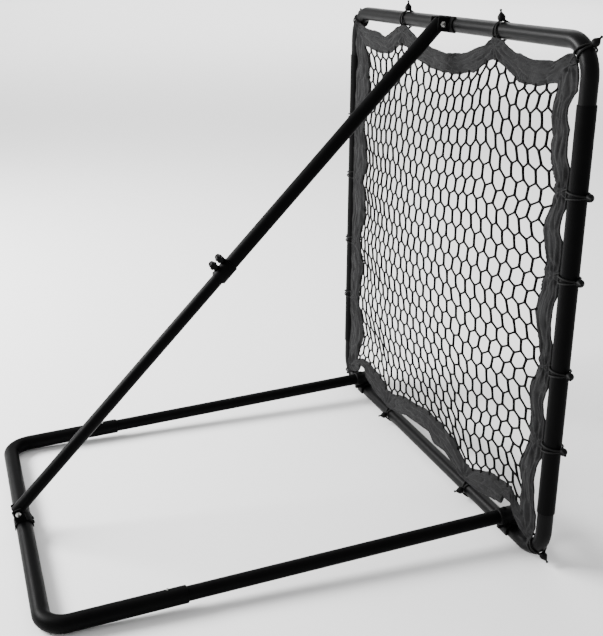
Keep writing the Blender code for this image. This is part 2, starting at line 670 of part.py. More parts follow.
BAR_TIES = (-BAR_LOOP_X, BAR_LOOP_X)
FOOT_TIES = (-ARM_X, -BAR_LOOP_X, BAR_LOOP_X, ARM_X)
SIDE_TIES = tuple(height - HALF for height in SIDE_LOOP_HEIGHTS)
EDGES = {
    "top": {"outer": edge_line(OUTER_CORNER, BAR_TIES, (0.021,) * 2, (0.020, 0.049, 0.020)),
            "inner": edge_line(INNER_CORNER, BAR_TIES, (0.072,) * 2, (0.022, 0.045, 0.022))},
    "bottom": {"outer": edge_line(OUTER_CORNER, FOOT_TIES, (0.080, 0.0255, 0.0255, 0.080),
                                  (-0.006, 0.010, 0.040, 0.010, -0.006)),
               "inner": edge_line(INNER_CORNER, FOOT_TIES, (0.112, 0.066, 0.066, 0.112),
                                  (0.0, 0.008, 0.046, 0.008, 0.0))},
    "side": {"outer": edge_line(OUTER_CORNER, SIDE_TIES, (0.022,) * 4, (0.002, 0.0165, 0.0185, 0.0165, 0.0125)),
             "inner": edge_line(INNER_CORNER, SIDE_TIES, (0.0745,) * 4, (0.005, 0.026, 0.029, 0.026, 0.012))},
}


def edge_depth(spans, place):
    """An edge's distance from the tube's axis, at a place along the side."""
    for start, end, first, last, sag in spans:
        if place <= end or end == spans[-1][1]:
            share = (place - start) / (end - start)
            return first + (last - first) * share + 4 * sag * share * (1 - share)


def to_frame(side, place, depth):
    """Frame coordinates of a point that is given along a side and inwards from its axis."""
    if side == "top":
        return place, FRAME_SIZE - depth
    if side == "bottom":
        return place, depth
    sign = -1 if side == "left" else 1
    return sign * (HALF - depth), HALF + place


def band_columns(edges, side):
    """The strip's columns, as (outer place, inner place, share of the span, whether an eyelet starts here)."""
    columns = []
    for index, (outer, inner) in enumerate(zip(edges["outer"], edges["inner"])):
        last = index == len(edges["outer"]) - 1
        tied_start = index == 0 or not (side == "bottom" and index in (1, 4))
        tied_end = last or not (side == "bottom" and index in (0, 3))
        length = outer[1] - outer[0]
        first_edge = (CORNER_NOTCH if index == 0 else EYELET_HALF) / length
        last_edge = 1.0 - (CORNER_NOTCH if last else EYELET_HALF) / length
        count = max(2, round(length / COLUMN_WIDTH))
        shares = [0.0, first_edge] + [step / count for step in range(1, count)] + [last_edge]
        if last:
            shares.append(1.0)
        for share in shares:
            opens = (share == 0.0 and tied_start) or (share == last_edge and tied_end)
            columns.append((outer[0] + length * share, inner[0] + (inner[1] - inner[0]) * share, share, opens))
    return columns


def band_strip(side, net_frame):
    """One strip of the band: a gently folded sheet between its two edges, with its eyelets left open."""
    edges = EDGES["side" if side in ("left", "right") else side]
    work = bmesh.new()
    rows = []
    openings = []
    for outer_place, inner_place, share, opens in band_columns(edges, side):
        outer = Vector(to_frame(side, outer_place, edge_depth(edges["outer"], outer_place)))
        inner = Vector(to_frame(side, inner_place, edge_depth(edges["inner"], inner_place)))
        slack = math.sin(math.pi * share) ** 2
        row = []
        for across in BAND_LANES:
            spot = outer.lerp(inner, across)
            fold = FOLD_DEPTH * math.sin(2 * math.pi * outer_place / FOLD_LENGTH + 2.4 * across)
            row.append(work.verts.new((spot.x, BAND_Y + slack * (fold - 0.004 * across), spot.y)))
        rows.append(row)
        openings.append(opens)
    for first, second, opens in zip(rows, rows[1:], openings):
        for lane in range(len(BAND_LANES) - 1):
            if not (opens and lane == 1):
                work.faces.new((first[lane], first[lane + 1], second[lane + 1], second[lane]))
    strip = bmesh_object(f"band_{side}", work, net_frame)
    solidify = strip.modifiers.new("cloth", "SOLIDIFY")
    solidify.thickness = BAND_THICKNESS
    solidify.offset = 0
    return finish(face_out(bake(strip)), FABRIC)


def make_band(net_frame):
    for side in ("top", "bottom", "left", "right"):
        band_strip(side, net_frame)


def corner_point(side, level):
    """The middle of a bent corner, on the tube's axis."""
    reach = HALF - CORNER_BEND * (1 - math.sqrt(0.5))
    return side * reach, HALF + level * reach


def net_point(across, up):
    """A point of the net's sheet, from shares of its width and height."""
    limit = HALF - INNER_CORNER - NET_GAP
    x = limit * (2 * across - 1)
    z = limit * (2 * up - 1)
    low = Vector(to_frame("bottom", x, edge_depth(EDGES["bottom"]["inner"], x) + NET_GAP))
    high = Vector(to_frame("top", x, edge_depth(EDGES["top"]["inner"], x) + NET_GAP))
    left = Vector(to_frame("left", z, edge_depth(EDGES["side"]["inner"], z) + NET_GAP))
    right = Vector(to_frame("right", z, edge_depth(EDGES["side"]["inner"], z) + NET_GAP))
    corners = Vector((x, HALF + z))
    spot = low.lerp(high, up) + left.lerp(right, across) - corners
    bulge = NET_BULGE * 16 * across * (1 - across) * up * (1 - up)
    return spot.x, BAND_Y - 0.003 + bulge, spot.y


def clip(polygon, axis, limit, keep_below):
    """Cut a polygon along a line of constant x or y."""
    kept = []
    for index, point in enumerate(polygon):
        before = polygon[index - 1]
        inside = (point[axis] <= limit) == keep_below or point[axis] == limit
        was_inside = (before[axis] <= limit) == keep_below or before[axis] == limit
        if inside != was_inside:
            share = (limit - before[axis]) / (point[axis] - before[axis])
            kept.append(tuple(before[i] + (point[i] - before[i]) * share for i in range(2)))
        if inside:
            kept.append(point)
    return kept


def net_cells():
    """Hexagons with upright sides that fill a unit square, with half cells along its edges."""
    width = 1 / NET_COLUMNS
    height = 1 / NET_ROWS
    rise = height * 0.30
    cells = []
    for row in range(NET_ROWS + 1):
        shift = 0.5 * (row % 2)
        for column in range(NET_COLUMNS + 1):
            x = (column + shift) * width
            y = row * height
            upright = (height - rise) / 2
            cell = [(x + width / 2, y - upright), (x + width / 2, y + upright), (x, y + upright + rise),
                    (x - width / 2, y + upright), (x - width / 2, y - upright), (x, y - upright - rise)]
            for axis in (0, 1):
                cell = clip(cell, axis, 0.0, False)
                cell = clip(cell, axis, 1.0, True)
            if len(cell) > 2 and x - width / 2 < 1 - WELD:
                cells.append(cell)
    return cells


def make_net(net_frame):
    work = bmesh.new()
    for cell in net_cells():
        work.faces.new([work.verts.new((across, up, 0.0)) for across, up in cell])
    bmesh.ops.remove_doubles(work, verts=work.verts, dist=0.0005)
    rim = [edge for edge in work.edges if edge.is_boundary]
    bmesh.ops.subdivide_edges(work, edges=rim, cuts=1)
    for vertex in work.verts:
        vertex.co = net_point(vertex.co.x, vertex.co.y)
    net = bmesh_object("net", work, net_frame)
    strands = net.modifiers.new("strands", "WIREFRAME")
    strands.thickness = NET_STRAND
    strands.use_even_offset = True
    strands.use_boundary = True
    strands.use_replace = True
    strands.use_relative_offset = False
    finish(face_out(bake(net)), TWINE)


# ---- Ball loops ---------------------------------------------------------------------------------
def loop_path(tube_r, ball):
    """A cord pulled tight round the tube, through the band's eyelet and to the ball, in (rear, out) axes."""
    hem = 0.0056
    round_tube = (tube_r + CORD_R + 0.0004) / math.cos(math.pi / LOOP_POINTS)
    pegs = [(Vector((0, 0)), round_tube), (Vector((BAND_Y, hem - LOOP_TIP)), hem), (ball, 0.0)]
    points = []
    for step in range(LOOP_POINTS):
        angle = 2 * math.pi * step / LOOP_POINTS
        way = Vector((math.cos(angle), math.sin(angle)))
        centre, radius = max(pegs, key=lambda peg: peg[0].dot(way) + peg[1])
        if centre is not ball:
            points.append(centre + way * radius)
        elif points.count(ball) == 0:
            points.append(ball)
    return [(point.x, point.y, 0.0) for point in points]


def loop_mesh(name, tube_r, ball_angle, net_frame):
    """Cord, ball and tail as one solid; the ball's angle is from the outward direction, towards the rear."""
    angle = math.radians(ball_angle)
    way = Vector((math.sin(angle), math.cos(angle)))
    ball = way * (tube_r + BALL_R + 0.0006)
    cord = bake(poly_curve(name, loop_path(tube_r, ball), CORD_R, 6, net_frame, closed=True, caps=False))
    work = bmesh.new()
    bmesh.ops.create_uvsphere(work, u_segments=8, v_segments=5, radius=BALL_R,
                              matrix=Matrix.Translation((ball.x, ball.y, 0)))
    bead = bmesh_object("bead", work, net_frame)
    loop = boolean(take_name(bead, cord), cord, "UNION")
    start = ball + way * (BALL_R * 0.4)
    stop = ball + way * (BALL_R + TAIL_LENGTH)
    tail = bake(poly_curve("tail", [(*start, 0.0), (*stop, 0.0)], CORD_R, 6, net_frame))
    return boolean(loop, tail, "UNION")


def loop_matrix(spot, outward):
    """Axes for a loop: rear, out of the frame, and along the tube."""
    rear = Vector((0, 1, 0))
    out = Vector((outward[0], 0, outward[1]))
    lie = rear.cross(out)
    turn = Matrix((rear, out, lie)).transposed().to_4x4()
    return Matrix.Translation((spot[0], 0, spot[1])) @ turn


def copy_loop(source, name, spot, outward, net_frame):
    place(name, source.data, net_frame, loop_matrix(spot, outward))


def make_loops(net_frame):
    bar_loop = finish(loop_mesh("bar_loop", CORNER_TUBE_R, 0, net_frame), ELASTIC)
    side_loop = finish(loop_mesh("side_loop", SIDE_TUBE_R, 0, net_frame), ELASTIC)
    foot_loop = loop_mesh("foot_loop", CORNER_TUBE_R, 90, net_frame)
    under = box("under", (0.05, 0.01, 0.02), net_frame, Matrix.Translation((0, CORD_BELOW_BAR + 0.005, 0)))
    foot_loop = finish(boolean(foot_loop, under, "DIFFERENCE"), ELASTIC)
    for side_name, side in (("left", -1), ("right", 1)):
        copy_loop(bar_loop, f"top_{side_name}_loop", (side * BAR_LOOP_X, FRAME_SIZE), (0, 1), net_frame)
        copy_loop(foot_loop, f"bottom_{side_name}_loop", (side * BAR_LOOP_X, 0.0), (0, -1), net_frame)
        for level_name, level in (("bottom", -1), ("top", 1)):
            outward = (side * math.sqrt(0.5), level * math.sqrt(0.5))
            copy_loop(bar_loop, f"{level_name}_{side_name}_corner_loop", corner_point(side, level), outward, net_frame)
        for number, height in enumerate(SIDE_LOOP_HEIGHTS, start=1):
            copy_loop(side_loop, f"{side_name}_loop_{number}", (side * HALF, height), (side, 0), net_frame)
    for source in (bar_loop, side_loop, foot_loop):
        bpy.data.objects.remove(source, do_unlink=True)


clear_scene()
PARTS = new_collection("pitch_back_rebounder")
NET_FRAME = empty("net_frame_hinge", FRAME_MATRIX)
BASE = empty("base_plane", BASE_MATRIX)
LOWER_BRACE = empty("lower_brace_pivot", Matrix.Translation(LOW_PIVOT) @ Matrix.Rotation(BRACE_TURN, 4, "X"))
UPPER_BRACE = empty("upper_brace_pivot", Matrix.Translation(TOP_PIVOT) @ Matrix.Rotation(BRACE_TURN, 4, "X"))
bpy.context.view_layer.update()

make_net_frame(NET_FRAME)
make_brackets(NET_FRAME, BASE)
make_rear_tube(BASE)
for SIDE_NAME, SIDE in (("left", -1), ("right", 1)):
    make_arm(SIDE_NAME, SIDE, BASE)
    make_hook(SIDE_NAME, SIDE, BASE)
make_brace(LOWER_BRACE, UPPER_BRACE)
make_band(NET_FRAME)
make_net(NET_FRAME)
make_loops(NET_FRAME)
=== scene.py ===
import json
import math
import random

import bmesh
import bpy
from mathutils import Matrix, Vector, noise


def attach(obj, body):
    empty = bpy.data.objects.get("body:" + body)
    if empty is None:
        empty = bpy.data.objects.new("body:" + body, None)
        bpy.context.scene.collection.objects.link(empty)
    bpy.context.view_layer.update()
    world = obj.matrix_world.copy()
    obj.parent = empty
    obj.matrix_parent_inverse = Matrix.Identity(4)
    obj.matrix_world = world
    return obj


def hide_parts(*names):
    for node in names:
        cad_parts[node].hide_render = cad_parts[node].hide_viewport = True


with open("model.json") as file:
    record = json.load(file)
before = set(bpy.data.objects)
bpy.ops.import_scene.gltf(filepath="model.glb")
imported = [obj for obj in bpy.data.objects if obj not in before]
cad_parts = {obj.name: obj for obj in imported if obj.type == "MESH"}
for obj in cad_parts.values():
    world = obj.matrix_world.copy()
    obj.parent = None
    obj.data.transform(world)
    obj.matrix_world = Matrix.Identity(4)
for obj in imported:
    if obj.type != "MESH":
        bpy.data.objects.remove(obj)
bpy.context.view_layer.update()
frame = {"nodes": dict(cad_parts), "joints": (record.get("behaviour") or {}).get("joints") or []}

# Looks of the pitch back rebounder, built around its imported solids. Metres, +Z up, -Y the side that the
# ball comes from. The net frame stands at y = -1.16, and the base runs back to the rear bar at y = 0.
joints = {joint["name"]: joint for joint in frame["joints"]}


# ---- Camera -------------------------------------------------------------------------------------
# Solved from the photograph by taking the net frame as a square of 1.2 m. It stands behind and to the left
# of the net, a little above the top bar, and its principal point is off the middle of the picture.
camera_data = bpy.data.cameras.new("camera")
camera_data.lens = 56.46
camera_data.sensor_width = 36.0
camera_data.shift_x = 0.0339
camera_data.shift_y = 0.0037
camera_data.clip_start = 0.05
camera_data.clip_end = 60.0
camera = bpy.data.objects.new("camera", camera_data)
bpy.context.scene.collection.objects.link(camera)
camera_right = Vector((-0.3210118, -0.9469075, -0.0178220))
camera_down = Vector((-0.3233017, 0.1272514, -0.9377010))
camera_ahead = Vector((0.8901840, -0.2952512, -0.3469860))
camera.matrix_world = Matrix((
    (camera_right.x, -camera_down.x, -camera_ahead.x, -2.352617),
    (camera_right.y, -camera_down.y, -camera_ahead.y, 0.068425),
    (camera_right.z, -camera_down.z, -camera_ahead.z, 1.404285),
    (0.0, 0.0, 0.0, 1.0)))
bpy.context.scene.camera = camera


# ---- Studio -------------------------------------------------------------------------------------
# A plain pale floor under soft light. The main softbox hangs behind the rear bar and above it, so the upper
# rear sides of the tubes carry a soft streak, as they do in the photograph. The widest one hangs beyond the
# object and evens out the floor there.
def node(tree, kind, inputs=None, **settings):
    """Add a shader node, with its sockets' values by name or number and its own settings."""
    made = tree.nodes.new(kind)
    for key, value in settings.items():
        setattr(made, key, value)
    for key, value in (inputs or {}).items():
        made.inputs[key].default_value = value
    return made


def studio_floor():
    size = 96.0
    below_feet = 0.0006
    plane = bmesh.new()
    bmesh.ops.create_grid(plane, x_segments=1, y_segments=1, size=size / 2)
    mesh = bpy.data.meshes.new("studio_floor")
    plane.to_mesh(mesh)
    plane.free()
    floor = bpy.data.objects.new("studio_floor", mesh)
    bpy.context.scene.collection.objects.link(floor)
    floor.location = (0.0, -0.6, -below_feet)
    paint = bpy.data.materials.new("pale_floor")
    paint.use_nodes = True
    shader = paint.node_tree.nodes["Principled BSDF"]
    shader.inputs["Base Color"].default_value = (0.86, 0.86, 0.86, 1.0)
    shader.inputs["Roughness"].default_value = 0.9
    mesh.materials.append(paint)


def softbox(name, place, aim, size, power, spread=180):
    lamp = bpy.data.lights.new(name, "AREA")
    lamp.shape = "RECTANGLE"
    lamp.size, lamp.size_y = size
    lamp.energy = power
    lamp.spread = math.radians(spread)
    box = bpy.data.objects.new(name, lamp)
    bpy.context.scene.collection.objects.link(box)
    box.location = place
    box.rotation_mode = "QUATERNION"
    box.rotation_quaternion = (Vector(aim) - Vector(place)).to_track_quat("-Z", "Y")


studio_floor()
softbox("rear_softbox", (2.4, 3.0, 2.7), (0.0, -0.7, 0.6), (3.4, 1.4), 950.0)
softbox("side_softbox", (3.0, -2.6, 3.4), (0.0, -0.8, 0.4), (2.5, 2.5), 60.0)
softbox("floor_softbox", (24.0, -8.4, 10.0), (24.0, -8.4, 0.0), (34.0, 24.0), 6200.0, 110)
sky = bpy.data.worlds.new("studio_air")
sky.use_nodes = True
sky.node_tree.nodes["Background"].inputs["Color"].default_value = (1.0, 1.0, 1.0, 1.0)
sky.node_tree.nodes["Background"].inputs["Strength"].default_value = 0.85
bpy.context.scene.world = sky


# ---- Rear bar of the base -----------------------------------------------------------------------
# One 42 mm steel tube bent into a U, which lies on the ground. It is powder coated a satin black, and each
# of its legs is drilled near the mouth for a snap button.
base_slope = 0.0386
base_tube_radius = 0.021
base_plane = Matrix.Translation((0.0, 0.0, 0.0206)) @ Matrix.Rotation(-base_slope, 4, "X")
arm_x = 0.460
socket_length = 0.3245
base_bend = 0.058
tube_sides = 48


def new_finish(name):
    """A new material, with its tree, its way of linking, its shader and the object's own coordinates."""
    finish = bpy.data.materials.new(name)
    finish.use_nodes = True
    tree = finish.node_tree
    return finish, tree, tree.links.new, tree.nodes["Principled BSDF"], node(tree, "ShaderNodeTexCoord")


def raise_surface(tree, height, strength, distance):
    """Give a finish its fine relief, from a texture's output."""
    bump = node(tree, "ShaderNodeBump", {"Strength": strength, "Distance": distance})
    tree.links.new(height, bump.inputs["Height"])
    tree.links.new(bump.outputs["Normal"], tree.nodes["Principled BSDF"].inputs["Normal"])


def powder_coat(name, smooth, rough, shine):
    """Black powder coat: fine orange peel, faint mottling, a few dusty rubs."""
    paint, tree, link, shader, place = new_finish(name)
    mottle = node(tree, "ShaderNodeTexNoise", {"Scale": 22.0, "Detail": 5.0, "Roughness": 0.62})
    rub = node(tree, "ShaderNodeTexNoise", {
        "Scale": 75.0, "Detail": 8.0, "Roughness": 0.75, "Distortion": 0.6})
    peel = node(tree, "ShaderNodeTexNoise", {"Scale": 620.0, "Detail": 2.0, "Roughness": 0.5})
    grain = node(tree, "ShaderNodeTexVoronoi", {"Scale": 2100.0})
    for texture in (mottle, rub, peel, grain):
        link(place.outputs["Object"], texture.inputs["Vector"])
    dusty = node(tree, "ShaderNodeMapRange", {
        "From Min": 0.60, "From Max": 0.78, "To Min": 0.0, "To Max": 0.35})
    link(rub.outputs["Fac"], dusty.inputs["Value"])
    deep = node(tree, "ShaderNodeMix", data_type="RGBA")
    deep.inputs[6].default_value = (0.0013, 0.0013, 0.0014, 1.0)
    deep.inputs[7].default_value = (0.0024, 0.0024, 0.0025, 1.0)
    link(mottle.outputs["Fac"], deep.inputs["Factor"])
    rubbed = node(tree, "ShaderNodeMix", data_type="RGBA")
    rubbed.inputs[7].default_value = (0.008, 0.008, 0.008, 1.0)
    link(dusty.outputs["Result"], rubbed.inputs["Factor"])
    link(deep.outputs[2], rubbed.inputs[6])
    link(rubbed.outputs[2], shader.inputs["Base Color"])
    gloss = node(tree, "ShaderNodeMapRange", {
        "From Min": 0.3, "From Max": 0.7, "To Min": smooth, "To Max": rough})
    link(mottle.outputs["Fac"], gloss.inputs["Value"])
    link(gloss.outputs["Result"], shader.inputs["Roughness"])
    skin = node(tree, "ShaderNodeMath", operation="ADD")
    link(peel.outputs["Fac"], skin.inputs[0])
    fine = node(tree, "ShaderNodeMath", {1: 0.35}, operation="MULTIPLY")
    link(grain.outputs["Distance"], fine.inputs[0])
    link(fine.outputs["Value"], skin.inputs[1])
    raise_surface(tree, skin.outputs["Value"], 0.28, 0.00025)
    shader.inputs["Specular IOR Level"].default_value = shine
    return paint


coat = powder_coat("satin_black_coat", 0.37, 0.47, 0.024)


def to_object(name, work, matrix=Matrix.Identity(4), crease=math.radians(35)):
    """Make an object of a bmesh, shaded smooth up to a crease angle."""
    mesh = bpy.data.meshes.new(name)
    work.to_mesh(mesh)
    work.free()
    made = bpy.data.objects.new(name, mesh)
    bpy.context.scene.collection.objects.link(made)
    made.matrix_world = matrix
    mesh.shade_smooth()
    mesh.set_sharp_from_angle(angle=crease)
    return made


def bridge(work, rings, closed):
    """Join rings of the same number of points with faces, and the last to the first if closed."""
    pairs = list(zip(rings, rings[1:]))
    if closed:
        pairs.append((rings[-1], rings[0]))
    for first, second in pairs:
        count = len(first)
        for index in range(count):
            after = (index + 1) % count
            work.faces.new((first[index], first[after], second[after], second[index]))


def tube_piece(name, path, normal, radius, wall, matrix):
    """A hollow tube along a flat path, whose cut ends are broken by a small chamfer."""
    work = bmesh.new()
    chamfer = wall * 0.3
    ends = {}

    def ring(index, reach, inset=0.0):
        before = path[max(index - 1, 0)]
        after = path[min(index + 1, len(path) - 1)]
        ahead = (after - before).normalized()
        side = ahead.cross(normal)
        centre = path[index] + ahead * (inset if index == 0 else -inset)
        spots = []
        for step in range(tube_sides):
            angle = 2 * math.pi * step / tube_sides
            spots.append(work.verts.new(centre + (side * math.cos(angle) + normal * math.sin(angle)) * reach))
        return spots

    last = len(path) - 1
    inner = radius - wall
    rings = [ring(0, radius - chamfer), ring(0, radius, chamfer)]
    rings += [ring(index, radius) for index in range(1, last)]
    rings += [ring(last, radius, chamfer), ring(last, radius - chamfer)]
    rings += [ring(last, inner + chamfer), ring(last, inner, chamfer)]
    rings += [ring(index, inner) for index in range(last - 1, 0, -1)]
    rings += [ring(0, inner, chamfer), ring(0, inner + chamfer)]
    bridge(work, rings, True)
    bmesh.ops.recalc_face_normals(work, faces=work.faces)
    if work.calc_volume(signed=True) < 0:
        bmesh.ops.reverse_faces(work, faces=work.faces)
    return to_object(name, work, matrix)


def arc_points(centre, radius, start, stop, steps):
    """Points of an arc in a plane, in degrees, without its first point."""
    spots = []
    for step in range(1, steps + 1):
        angle = math.radians(start + (stop - start) * step / steps)
        spots.append((centre[0] + radius * math.cos(angle), centre[1] + radius * math.sin(angle)))
    return spots


def cut(piece, cutter):
    """Cut a piece with another, which is used up."""
    change = piece.modifiers.new("cut", "BOOLEAN")
    change.operation = "DIFFERENCE"
    change.solver = "EXACT"
    change.object = cutter
    settle(piece)
    bpy.data.objects.remove(cutter, do_unlink=True)
    return piece


def settle(piece, crease=math.radians(35)):
    """Apply a piece's modifiers, and shade it smooth again."""
    bpy.context.view_layer.update()
    shape = bpy.data.meshes.new_from_object(piece.evaluated_get(bpy.context.evaluated_depsgraph_get()))
    piece.modifiers.clear()
    piece.data = shape
    shape.shade_smooth()
    shape.set_sharp_from_angle(angle=crease)
    return piece


def rod(name, radius, length, matrix, sides=24, tip_radius=None):
    """A plain rod along the matrix's Z axis, centred on it."""
    work = bmesh.new()
    bmesh.ops.create_cone(work, cap_ends=True, segments=sides, radius1=radius,
                          radius2=radius if tip_radius is None else tip_radius, depth=length)
    return to_object(name, work, matrix)


def fit(piece, finish, body, slot, *nodes):
    """Give a piece its finish and its body, and let it stand for its solids. Its slot is not used."""
    piece.data.materials.clear()
    piece.data.materials.append(finish)
    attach(piece, body)
    if nodes:
        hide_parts(*nodes)
    return piece


button_radius = 0.0035
button_back = 0.0440
button_turn = math.radians(12)


def button_place(side, out):
    """A place on a snap button's line, with Z out of the tube."""
    foot = Matrix.Translation((side * arm_x, -socket_length + button_back, 0.0))
    return base_plane @ foot @ Matrix.Rotation(-side * button_turn, 4, "Y") @ Matrix.Translation((0, 0, out))


def rear_bar():
    bend_steps = 20
    corner = (arm_x - base_bend, -base_bend)
    right = [(arm_x, -socket_length), (arm_x, -base_bend)] + arc_points(corner, base_bend, 0, 90, bend_steps)
    flat = right + [(-x, y) for x, y in reversed(right)]
    path = [Vector((x, y, 0.0)) for x, y in flat]
    bar = tube_piece("rear_bar", path, Vector((0, 0, 1)), base_tube_radius, 0.0031, base_plane)
    for side in (-1, 1):
        cut(bar, rod("drill", button_radius + 0.0007, 0.014, button_place(side, base_tube_radius)))
    fit(bar, coat, "base", "black_paint", "rear_base_tube")


rear_bar()


# ---- Arms ---------------------------------------------------------------------------------------
# Two straight 35 mm steel tubes that plug into the legs of the rear bar and run forward to the net frame.
# They have the same powder coat, and a hole for the snap button that locks each of them in its leg.
arm_radius = 0.0175
front_in_base = -1.16376
arm_front = front_in_base - 0.0170


def arms():
    for label, side in (("left", -1), ("right", 1)):
        path = [Vector((side * arm_x, arm_front, 0.0)), Vector((side * arm_x, -socket_length + 0.100, 0.0))]
        arm = tube_piece(f"{label}_arm", path, Vector((0, 0, 1)), arm_radius, 0.0018, base_plane)
        cut(arm, rod("drill", button_radius + 0.0005, 0.014, button_place(side, arm_radius)))
        fit(arm, coat, "base", "black_paint", f"{label}_base_arm")


arms()


# ---- Snap buttons and their springs -------------------------------------------------------------
# A domed zinc-plated button stands out of each leg's hole. It is pushed up by a bent leaf spring inside the
# arm, and pressing it in lets the arm slide out.
def zinc_plate():
    """Bright zinc: a cold metal with fine brushing, faint bloom and darker spots."""
    plate, tree, link, shader, place = new_finish("bright_zinc")
    bloom = node(tree, "ShaderNodeTexNoise", {"Scale": 260.0, "Detail": 5.0, "Roughness": 0.65})
    brush = node(tree, "ShaderNodeTexNoise", {"Scale": 1400.0, "Detail": 3.0})
    stretch = node(tree, "ShaderNodeMapping", {"Scale": (1.0, 0.12, 1.0)})
    link(place.outputs["Object"], bloom.inputs["Vector"])
    link(place.outputs["Object"], stretch.inputs["Vector"])
    link(stretch.outputs["Vector"], brush.inputs["Vector"])
    tint = node(tree, "ShaderNodeValToRGB")
    tint.color_ramp.elements[0].color = (0.24, 0.24, 0.23, 1.0)
    tint.color_ramp.elements[1].color = (0.46, 0.46, 0.45, 1.0)
    link(bloom.outputs["Fac"], tint.inputs["Fac"])
    link(tint.outputs["Color"], shader.inputs["Base Color"])
    gloss = node(tree, "ShaderNodeMapRange", {
        "From Min": 0.3, "From Max": 0.7, "To Min": 0.20, "To Max": 0.36})
    link(bloom.outputs["Fac"], gloss.inputs["Value"])
    link(gloss.outputs["Result"], shader.inputs["Roughness"])
    raise_surface(tree, brush.outputs["Fac"], 0.15, 0.0001)
    shader.inputs["Metallic"].default_value = 1.0
    return plate


zinc = zinc_plate()


def turned_piece(name, profile, matrix, sides=32):
    """A solid turned about Z; the profile runs from axis to axis as (radius, height)."""
    work = bmesh.new()
    rings = []
    for radius, height in profile:
        if radius == 0.0:
            rings.append([work.verts.new((0, 0, height))])
        else:
            rings.append([work.verts.new((radius * math.cos(2 * math.pi * step / sides),
                                          radius * math.sin(2 * math.pi * step / sides), height))
                          for step in range(sides)])
    for first, second in zip(rings, rings[1:]):
        for index in range(sides):
            after = (index + 1) % sides
            spots = [first[index % len(first)], first[after % len(first)],
                     second[after % len(second)], second[index % len(second)]]
            work.faces.new(list(dict.fromkeys(spots)))
    bmesh.ops.recalc_face_normals(work, faces=work.faces)
    return to_object(name, work, matrix)


def rounded(radius, height, round_off, steps=6):
    """The profile of a disc's top: from the axis out, over a rounded edge, to the given height less it."""
    spots = [(0.0, height)]
    for step in range(steps + 1):
        angle = math.pi / 2 * (1 - step / steps)
        spots.append((radius - round_off + round_off * math.cos(angle),
                      height - round_off + round_off * math.sin(angle)))
    return spots


def snap_buttons():
    foot = 0.0105
    length = base_tube_radius + 0.0035 - foot
    flange = 0.0015
    for label, side in (("left", -1), ("right", 1)):
        profile = rounded(button_radius, length, 0.0022) + [
            (button_radius, flange), (button_radius * 1.45, flange), (button_radius * 1.45, 0.0), (0.0, 0.0)]
        button = turned_piece(f"{label}_button", profile, button_place(side, foot))
        fit(button, zinc, f"{label}_button", "zinc_plate", f"{label}_snap_button")
        spring = frame["nodes"][f"{label}_button_spring"]
        spring.data.materials.clear()
        spring.data.materials.append(zinc)


snap_buttons()


# ---- Hooks on the arms --------------------------------------------------------------------------
# A moulded black nylon cup is pushed over the front end of each arm and held by a low bolt. Below it a
# C-shaped clip sits over the bottom bar, so the net frame can turn in the two hooks.
hook_radius = 0.0209
hook_back = 0.038
hook_front = 0.0215
clip_width = 0.034
clip_inner = 0.0196
clip_outer = 0.0245
clip_open_below = 0.0085
arm_rise = 0.0416


def moulded_nylon():
    """Black nylon: a fine spark-eroded grain, soft sheen, faint flow marks."""
    plastic, tree, link, shader, place = new_finish("black_nylon")
    grain = node(tree, "ShaderNodeTexNoise", {"Scale": 2600.0, "Detail": 2.0})
    flow = node(tree, "ShaderNodeTexNoise", {"Scale": 60.0, "Detail": 4.0, "Distortion": 1.2})
    link(place.outputs["Object"], grain.inputs["Vector"])
    link(place.outputs["Object"], flow.inputs["Vector"])
    tint = node(tree, "ShaderNodeValToRGB")
    tint.color_ramp.elements[0].color = (0.0012, 0.0012, 0.0013, 1.0)
    tint.color_ramp.elements[1].color = (0.0027, 0.0027, 0.0028, 1.0)
    link(flow.outputs["Fac"], tint.inputs["Fac"])
    link(tint.outputs["Color"], shader.inputs["Base Color"])
    gloss = node(tree, "ShaderNodeMapRange", {
        "From Min": 0.3, "From Max": 0.7, "To Min": 0.42, "To Max": 0.58})
    link(flow.outputs["Fac"], gloss.inputs["Value"])
    link(gloss.outputs["Result"], shader.inputs["Roughness"])
    raise_surface(tree, grain.outputs["Fac"], 0.25, 0.0001)
    shader.inputs["Specular IOR Level"].default_value = 0.06
    return plastic


nylon = moulded_nylon()


def join(piece, other):
    """Unite a piece with another, which is used up."""
    change = piece.modifiers.new("join", "BOOLEAN")
    change.operation = "UNION"
    change.solver = "EXACT"
    change.object = other
    settle(piece)
    bpy.data.objects.remove(other, do_unlink=True)
    return piece


def soften(piece, voxel, passes):
    """Round a moulded piece's edges and corners: an even remesh, then a light smoothing."""
    even = piece.modifiers.new("even", "REMESH")
    even.mode = "VOXEL"
    even.voxel_size = voxel
    soft = piece.modifiers.new("soft", "SMOOTH")
    soft.factor = 0.5
    soft.iterations = passes
    return settle(piece, math.radians(50))


def across(x, y, z):
    """A place in its parent's axes whose Z axis runs along X."""
    return Matrix.Translation((x, y, z)) @ Matrix.Rotation(math.pi / 2, 4, "Y")


def forward(x, y, z):
    """A place in its parent's axes whose Z axis runs along -Y."""
    return Matrix.Translation((x, y, z)) @ Matrix.Rotation(math.pi / 2, 4, "X")


def block(name, size, matrix):
    work = bmesh.new()
    bmesh.ops.create_cube(work, size=1.0, matrix=Matrix.Diagonal((*size, 1.0)))
    return to_object(name, work, matrix)


